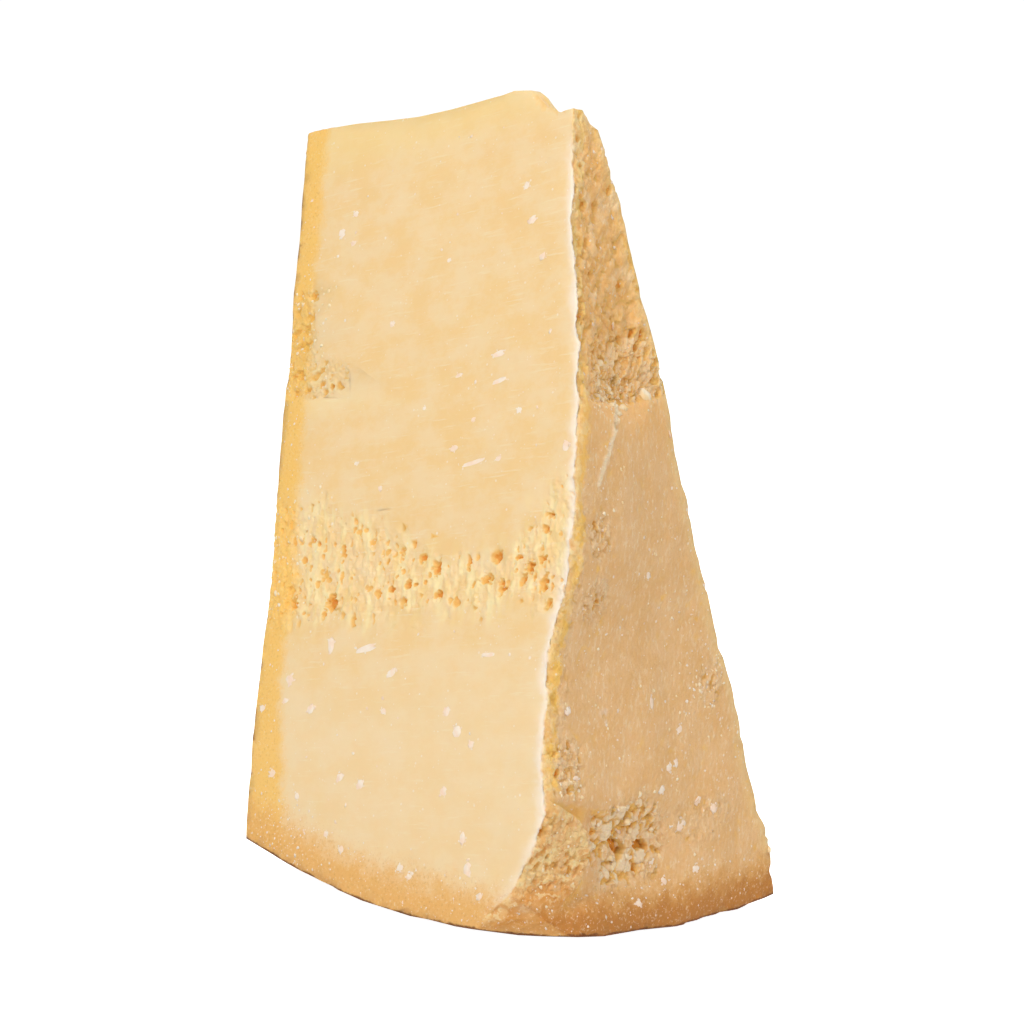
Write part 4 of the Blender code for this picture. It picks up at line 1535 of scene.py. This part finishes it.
@dataclass(frozen=True)
class GrainFinish:
    """The material of small grains: two tones in soft blotches. Lengths in it are in metres."""

    name: str
    first: tuple[float, ...]
    second: tuple[float, ...]
    roughness: float = 0.5
    subsurface: float = 0.3

    def build(self, groups: PasteGroups) -> bpy.types.Material:
        """Builds the material with the shared node groups."""
        material = bpy.data.materials.new(self.name)
        material.use_nodes = True
        graph = Graph(material.node_tree)
        shader = material.node_tree.nodes["Principled BSDF"]
        shader.inputs["Subsurface Weight"].default_value = self.subsurface
        shader.inputs["Subsurface Radius"].default_value = (1.0, 0.6, 0.35)
        shader.inputs["Subsurface Scale"].default_value = 0.0015
        place = graph.add("ShaderNodeTexCoord").outputs["Object"]
        place = graph.stretched(place, (1000.0, 1000.0, 1000.0))
        blotch = graph.step(graph.noise(place, 0.35, 2.0, 0.5), 0.35, 0.65)
        graph.tree.links.new(graph.mix(blotch, self.first, self.second), shader.inputs["Base Color"])
        rough = graph.math("ADD", graph.times(graph.noise(place, 1.5), 0.3), self.roughness - 0.15)
        graph.tree.links.new(rough, shader.inputs["Roughness"])
        grain = graph.group(groups.grain, {"Place": place})
        bump = graph.add("ShaderNodeBump", {"Strength": 0.6, "Distance": 1.0, "Height": grain})
        graph.tree.links.new(bump.outputs["Normal"], shader.inputs["Normal"])
        return material


@dataclass(frozen=True)
class Spot:
    """One grain's place on a face, and its size. Lengths are in millimetres."""

    face: Face
    across: float
    radius: float
    wide: float
    tall: float
    turn: float = 0.0


@dataclass(frozen=True)
class Sprinkle:
    """Grains strewn over part of a face. Lengths are in millimetres.

    The range away runs from the wheel's axis, or where it is measured from the rind, inwards from the rind.
    """

    face: Face
    across: tuple[float, float]
    away: tuple[float, float]
    count: int
    size: tuple[float, float]
    from_rind: bool = False
    gathered: bool = False

    def spots(self, draw: np.random.Generator, wheel: Wheel) -> list[Spot]:
        """Draws the grains' places and sizes."""
        found = []
        for _ in range(self.count):
            shares = draw.random(2)
            if self.gathered:
                shares = np.clip(draw.normal(0.5, 0.2, 2), 0.0, 1.0)
            across = self.across[0] + shares[0] * (self.across[1] - self.across[0])
            away = self.away[0] + shares[1] * (self.away[1] - self.away[0])
            if self.from_rind:
                away = wheel.rind_radius(across if self.face in (Face.CUT, Face.BACK) else 0.0) - away
            size = self.size[0] + (self.size[1] - self.size[0]) * draw.random() ** 2.2
            longer = 1.0 + 0.5 * draw.random()
            found.append(Spot(self.face, across, away, size, size * longer, 180.0 * draw.random()))
        return found


@dataclass(frozen=True)
class Grains:
    """Small grains half sunk in the wedge's surface: one piece for each kind."""

    name: str
    finish: GrainFinish
    seed: int
    spots: tuple[Spot, ...]
    sprinkles: tuple[Sprinkle, ...]
    thickness: float = 0.6
    proud: float = 0.25
    spread: float = 1.0
    roughness: float = 0.25
    variants: int = 7
    satellites: int = 0

    def _variants(self) -> list[bpy.types.Mesh]:
        """Models a few uneven grains, one unit across."""
        made = []
        for index in range(self.variants):
            bpy.ops.object.select_all(action="DESELECT")
            bpy.ops.mesh.primitive_ico_sphere_add(subdivisions=1 if index > 3 else 2, radius=0.5)
            bpy.ops.object.mode_set(mode="EDIT")
            bpy.ops.mesh.select_all(action="SELECT")
            bpy.ops.transform.vertex_random(offset=self.roughness, seed=self.seed + index)
            bpy.ops.object.mode_set(mode="OBJECT")
            pattern = bpy.context.object
            made.append(pattern.data)
            bpy.data.objects.remove(pattern)
        return made

    def build(self, body: bpy.types.Object, wheel: Wheel, groups: PasteGroups) -> bpy.types.Object:
        """Sets every grain into the surface and joins them into one piece.

        Args:
            body: the finished wedge.
            wheel: the wheel that it came from.
            groups: the shared node groups.

        Returns:
            The piece.
        """
        draw = np.random.default_rng(self.seed)
        surface = BVHTree.FromObject(body, bpy.context.evaluated_depsgraph_get())
        variants = self._variants()
        spots = list(self.spots)
        for spot in self.spots:
            spots += self._around(spot, draw)
        for sprinkle in self.sprinkles:
            spots += sprinkle.spots(draw, wheel)
        piece = bpy.data.objects.new(self.name, bpy.data.meshes.new(self.name))
        bpy.context.scene.collection.objects.link(piece)
        grains = []
        for index, spot in enumerate(spots):
            start, outward = wheel.outside(spot.face, spot.across, spot.radius)
            place, normal, _, _ = surface.ray_cast(start, -outward, RAY_REACH)
            if place is None:
                continue
            named = index < len(self.spots)
            pattern = variants[draw.integers(4) if named else 4 + draw.integers(self.variants - 4)]
            grain = bpy.data.objects.new("grain", pattern)
            bpy.context.scene.collection.objects.link(grain)
            grain.matrix_world = self._seat(spot, place, normal, outward, wheel)
            grains.append(grain)
        only(piece)
        for grain in grains:
            grain.select_set(True)
        bpy.ops.object.join()
        piece.data.materials.append(self.finish.build(groups))
        piece.data.shade_smooth()
        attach(piece, BODY)
        LOG.info("%s: %d grains, %d triangles", self.name, len(grains), len(piece.data.polygons))
        return piece

    def _around(self, spot: Spot, draw: np.random.Generator) -> list[Spot]:
        """Draws the small grains that cling to a large one, so its outline is ragged."""
        found = []
        for _ in range(self.satellites):
            turn, reach = 2.0 * math.pi * draw.random(), 0.42 + 0.25 * draw.random()
            across = spot.across + reach * spot.wide * math.cos(turn)
            radius = spot.radius + reach * spot.tall * math.sin(turn)
            size = min(spot.wide, spot.tall) * (0.25 + 0.3 * draw.random())
            found.append(Spot(spot.face, across, radius, size, size, 180.0 * draw.random()))
        return found

    def _seat(self, spot: Spot, place: Vector, normal: Vector, outward: Vector, wheel: Wheel) -> Matrix:
        """Works out how one grain sits: flattened against the surface and partly sunk."""
        facing = (normal + outward).normalized()
        up = wheel.towards_tip(spot.face, spot.across, spot.radius)
        side = up.cross(facing).normalized()
        along = facing.cross(side)
        turn = Matrix((side, along, facing)).transposed() @ Matrix.Rotation(math.radians(spot.turn), 3, "Z")
        thick = self.thickness * min(spot.wide, spot.tall) * MM
        size = Matrix.Diagonal((self.spread * spot.wide * MM, self.spread * spot.tall * MM, thick))
        lifted = place + facing * thick * (self.proud - 0.5)
        return Matrix.Translation(lifted) @ (turn @ size).to_4x4()


def spots(face: Face, *rows: tuple[float, ...]) -> tuple[Spot, ...]:
    """Makes a spot on the face of each row of its numbers: across, radius, wide, tall and, if any, turn."""
    return tuple(Spot(face, *row) for row in rows)


CUT_CRYSTALS = spots(
    Face.CUT,
    (-85.5, 31.8, 2.6, 2.4), (-80.6, 35.3, 2.0, 1.7), (-80.3, 27.4, 1.8, 1.8), (-15.2, 31.0, 2.0, 1.9),
    (-12.6, 40.2, 3.2, 2.0, 20.0), (-8.3, 50.1, 2.4, 1.8, 25.0), (-42.3, 46.0, 1.4, 1.2),
    (-62.7, 60.0, 1.6, 1.8), (-21.8, 73.1, 4.4, 1.7, 8.0), (-35.9, 76.9, 2.4, 1.2, 10.0),
    (-21.1, 80.1, 5.0, 1.4, 8.0), (-13.3, 88.3, 1.7, 1.7), (-29.3, 89.0, 1.4, 1.3),
    (-47.9, 84.0, 1.3, 1.2), (-35.9, 95.7, 3.2, 1.5, 8.0), (-28.2, 100.0, 9.0, 1.3, 7.0),
    (-19.3, 99.9, 2.0, 1.4), (-72.6, 95.8, 1.9, 1.1), (-62.7, 103.3, 1.5, 1.3), (3.9, 99.2, 2.0, 2.4),
    (-77.5, 143.2, 2.4, 4.4, 12.0), (-63.6, 144.7, 8.0, 2.0, 9.0), (-18.6, 148.4, 4.5, 1.2, -3.0),
    (-53.3, 151.3, 3.4, 2.2, 20.0), (-93.1, 151.6, 3.2, 2.6, -30.0), (-83.6, 159.3, 2.8, 2.6, 30.0),
    (-94.1, 156.8, 2.2, 1.8), (-55.3, 161.0, 2.2, 1.5), (-31.9, 161.8, 2.2, 2.6, 20.0),
    (-27.8, 166.9, 3.2, 2.8, -20.0), (-22.5, 170.2, 2.1, 1.9, -30.0), (-70.0, 177.3, 2.6, 2.2),
    (-62.1, 179.2, 2.7, 2.4, -30.0), (-31.0, 181.4, 2.3, 2.3), (-86.5, 181.9, 1.9, 1.7),
    (-23.2, 192.8, 2.0, 3.2), (-20.7, 200.2, 2.6, 3.6, 10.0), (-44.8, 199.8, 2.2, 2.0),
    (-73.9, 191.5, 1.9, 1.7), (-67.6, 195.5, 2.1, 1.9), (-41.3, 202.0, 1.9, 1.8),
    (-15.9, 206.5, 1.8, 1.7), (-97.1, 175.8, 2.2, 2.6), (-103.4, 158.6, 2.0, 1.8),
)

BROKEN_CRYSTALS = spots(
    Face.BROKEN,
    (7.9, 162.0, 2.1, 1.9), (11.3, 178.4, 2.5, 1.7), (33.1, 129.6, 2.2, 1.8), (38.1, 160.7, 1.8, 3.0),
    (50.5, 168.7, 1.9, 2.6, 15.0), (43.7, 182.2, 2.2, 2.2), (46.8, 177.5, 2.0, 1.9),
    (49.5, 176.8, 1.6, 1.8), (52.2, 192.1, 4.4, 2.6, 8.0), (58.9, 187.5, 2.2, 1.7, 30.0),
    (64.4, 190.3, 2.1, 2.1), (45.1, 200.2, 2.2, 2.4, 20.0), (59.0, 203.5, 2.2, 1.9),
    (48.0, 204.9, 1.6, 2.4), (37.9, 208.8, 1.9, 1.7),
)

CRYSTALS = Grains(
    name="white_crystals",
    finish=GrainFinish("white_crystal", linear(255, 224, 196), linear(255, 238, 218), 0.6, 0.0),
    seed=71,
    thickness=0.22,
    proud=0.2,
    spread=1.25,
    roughness=0.15,
    satellites=4,
    spots=CUT_CRYSTALS + BROKEN_CRYSTALS,
    sprinkles=(
        Sprinkle(Face.CUT, (-100.0, 2.0), (12.0, 100.0), 46, (0.5, 1.3)),
        Sprinkle(Face.CUT, (-100.0, 0.0), (140.0, 205.0), 42, (0.5, 1.4)),
        Sprinkle(Face.CUT, (-104.0, -97.0), (25.0, 190.0), 60, (0.4, 0.9)),
        Sprinkle(Face.CUT, (-104.0, -76.0), (1.0, 16.0), 90, (0.35, 1.0), from_rind=True),
        Sprinkle(Face.CUT, (-104.0, -4.0), (0.8, 12.0), 90, (0.35, 0.8), from_rind=True),
        Sprinkle(Face.BROKEN, (4.0, 84.0), (1.0, 12.0), 90, (0.35, 0.9), from_rind=True),
        Sprinkle(Face.BROKEN, (4.0, 78.0), (95.0, 205.0), 150, (0.4, 1.0)),
        Sprinkle(Face.BROKEN, (2.0, 34.0), (15.0, 90.0), 60, (0.4, 0.9)),
        Sprinkle(Face.BROKEN, (52.0, 66.0), (150.0, 166.0), 24, (0.5, 1.2)),
        Sprinkle(Face.BACK, (-100.0, 0.0), (15.0, 208.0), 180, (0.5, 2.2)),
    ),
)

CRUMBS = Grains(
    name="loose_crumbs",
    finish=GrainFinish("loose_crumb", linear(255, 238, 206), linear(252, 220, 166), 0.6, 0.0),
    seed=83,
    spots=spots(
        Face.BROKEN,
        (31.6, 86.0, 5.6, 4.2, 80.0), (12.8, 76.8, 2.7, 2.2, 10.0), (12.0, 81.9, 3.0, 2.0, 30.0),
        (17.4, 83.0, 3.0, 2.2, 70.0), (16.2, 87.4, 2.6, 1.8, 15.0), (20.2, 85.8, 1.8, 2.6, 5.0),
        (22.2, 87.9, 2.2, 2.2, 40.0), (18.4, 89.6, 2.6, 1.6, 0.0), (11.1, 85.3, 1.8, 2.2, 0.0),
    ),
    sprinkles=(
        Sprinkle(Face.BROKEN, (7.0, 27.0), (76.0, 93.0), 60, (0.5, 1.6), gathered=True),
        Sprinkle(Face.BROKEN, (6.0, 36.0), (80.0, 90.0), 50, (0.5, 1.2)),
        Sprinkle(Face.BROKEN, (20.0, 48.0), (182.0, 205.0), 60, (0.5, 2.0), gathered=True),
        Sprinkle(Face.BROKEN, (2.0, 18.0), (186.0, 209.0), 36, (0.4, 1.3)),
        Sprinkle(Face.BROKEN, (56.0, 66.0), (154.0, 166.0), 22, (0.5, 1.3)),
        Sprinkle(Face.BROKEN, (4.0, 14.0), (170.0, 184.0), 26, (0.5, 1.3)),
        Sprinkle(Face.BROKEN, (3.0, 80.0), (100.0, 208.0), 120, (0.4, 1.1)),
        Sprinkle(Face.BACK, (-100.0, 0.0), (20.0, 208.0), 160, (0.6, 2.2)),
        Sprinkle(Face.CUT, (-104.0, -86.0), (46.0, 76.0), 70, (0.4, 1.4)),
        Sprinkle(Face.CUT, (-104.0, -86.0), (100.0, 138.0), 60, (0.5, 1.5)),
    ),
    roughness=0.2,
    thickness=0.6,
    proud=0.3,
)


@dataclass(frozen=True)
class Lamp:
    """A square lamp that points at the wedge's middle. Angles are in degrees, from the cut face's side."""

    name: str
    azimuth: float
    elevation: float
    distance: float
    size: float
    power: float

    def build(self) -> None:
        """Hangs the lamp."""
        data = bpy.data.lights.new(self.name, "AREA")
        data.energy = self.power
        data.size = self.size
        lamp = bpy.data.objects.new(self.name, data)
        bpy.context.scene.collection.objects.link(lamp)
        turn, rise = math.radians(self.azimuth), math.radians(self.elevation)
        away = Vector((math.sin(turn) * math.cos(rise), -math.cos(turn) * math.cos(rise), math.sin(rise)))
        lamp.location = Vector((0.0, 0.0, 0.1)) + self.distance * away
        lamp.rotation_euler = away.to_track_quat("Z", "Y").to_euler()


@dataclass(frozen=True)
class Studio:
    """A pale floor, a white surround and soft lamps."""

    floor_size: float = 8.0
    floor_tone: float = 0.9
    surround: float = 0.386
    lamps: tuple[Lamp, ...] = (
        Lamp("key", 12.0, 42.0, 1.5, 0.6, 10.2),
        Lamp("fill", 78.0, 42.0, 1.8, 1.2, 7.8),
        Lamp("rim", 190.0, 35.0, 1.5, 0.8, 6.4),
    )

    def build(self) -> None:
        """Adds the floor, the surround and the lamps."""
        bpy.ops.mesh.primitive_plane_add(size=self.floor_size)
        floor = bpy.context.object
        floor.name = "floor"
        floor.data.materials.append(self._floor_material())
        self._world()
        for lamp in self.lamps:
            lamp.build()

    def _floor_material(self) -> bpy.types.Material:
        """A plain white floor that the camera sees as lit all over."""
        material = bpy.data.materials.new("pale_floor")
        material.use_nodes = True
        graph = Graph(material.node_tree)
        shader = material.node_tree.nodes["Principled BSDF"]
        shader.inputs["Base Color"].default_value = (self.floor_tone, self.floor_tone, self.floor_tone, 1.0)
        shader.inputs["Roughness"].default_value = 0.9
        shader.inputs["Specular IOR Level"].default_value = 0.0
        shader.inputs["Emission Color"].default_value = (1.0, 1.0, 1.0, 1.0)
        seen = graph.add("ShaderNodeLightPath").outputs["Is Camera Ray"]
        graph.tree.links.new(seen, shader.inputs["Emission Strength"])
        return material

    def _world(self) -> None:
        """A surround that lights softly and shows as plain white."""
        world = bpy.data.worlds.new("surround")
        world.use_nodes = True
        bpy.context.scene.world = world
        graph = Graph(world.node_tree)
        background = world.node_tree.nodes["Background"]
        seen = graph.add("ShaderNodeLightPath").outputs["Is Camera Ray"]
        strength = graph.math("ADD", graph.times(seen, 1.05 - self.surround), self.surround)
        background.inputs["Color"].default_value = (1.0, 1.0, 1.0, 1.0)
        graph.tree.links.new(strength, background.inputs["Strength"])


@dataclass(frozen=True)
class Viewpoint:
    """Where the camera stands, and how it is held."""

    target: tuple[float, float, float] = (0.0184, -0.0003, 0.0975)
    azimuth: float = math.radians(45.31)
    elevation: float = math.radians(5.10)
    roll: float = math.radians(2.11)
    distance: float = 0.694
    lens: float = 96.05
    aside: tuple[float, float] = (-0.00277, 0.00107)

    def build(self) -> None:
        """Adds the camera and makes it the scene's own."""
        data = bpy.data.cameras.new("camera")
        data.lens = self.lens
        data.sensor_width = 36.0
        data.clip_start = 0.01
        camera = bpy.data.objects.new("camera", data)
        bpy.context.scene.collection.objects.link(camera)
        back = Vector(
            (
                math.sin(self.azimuth) * math.cos(self.elevation),
                -math.cos(self.azimuth) * math.cos(self.elevation),
                math.sin(self.elevation),
            )
        )
        turn = back.to_track_quat("Z", "Y").to_matrix() @ Matrix.Rotation(self.roll, 3, "Z")
        aim = Vector(self.target) + turn @ Vector((self.aside[0], self.aside[1], 0.0))
        camera.matrix_world = Matrix.Translation(aim + back * self.distance) @ turn.to_4x4()
        bpy.context.scene.camera = camera
        bpy.context.scene.view_settings.view_transform = "Standard"


def main() -> None:
    """Builds the wedge, its crystals and crumbs, and the studio around it."""
    logging.basicConfig(level=logging.INFO, format="%(message)s")
    Viewpoint().build()
    Studio().build()
    groups = PasteGroups()
    wheel = Wheel()
    body = WedgeBody(wheel).build(groups)
    for grains in (CRYSTALS, CRUMBS):
        grains.build(body, wheel, groups)


if __name__ == "__main__":
    main()
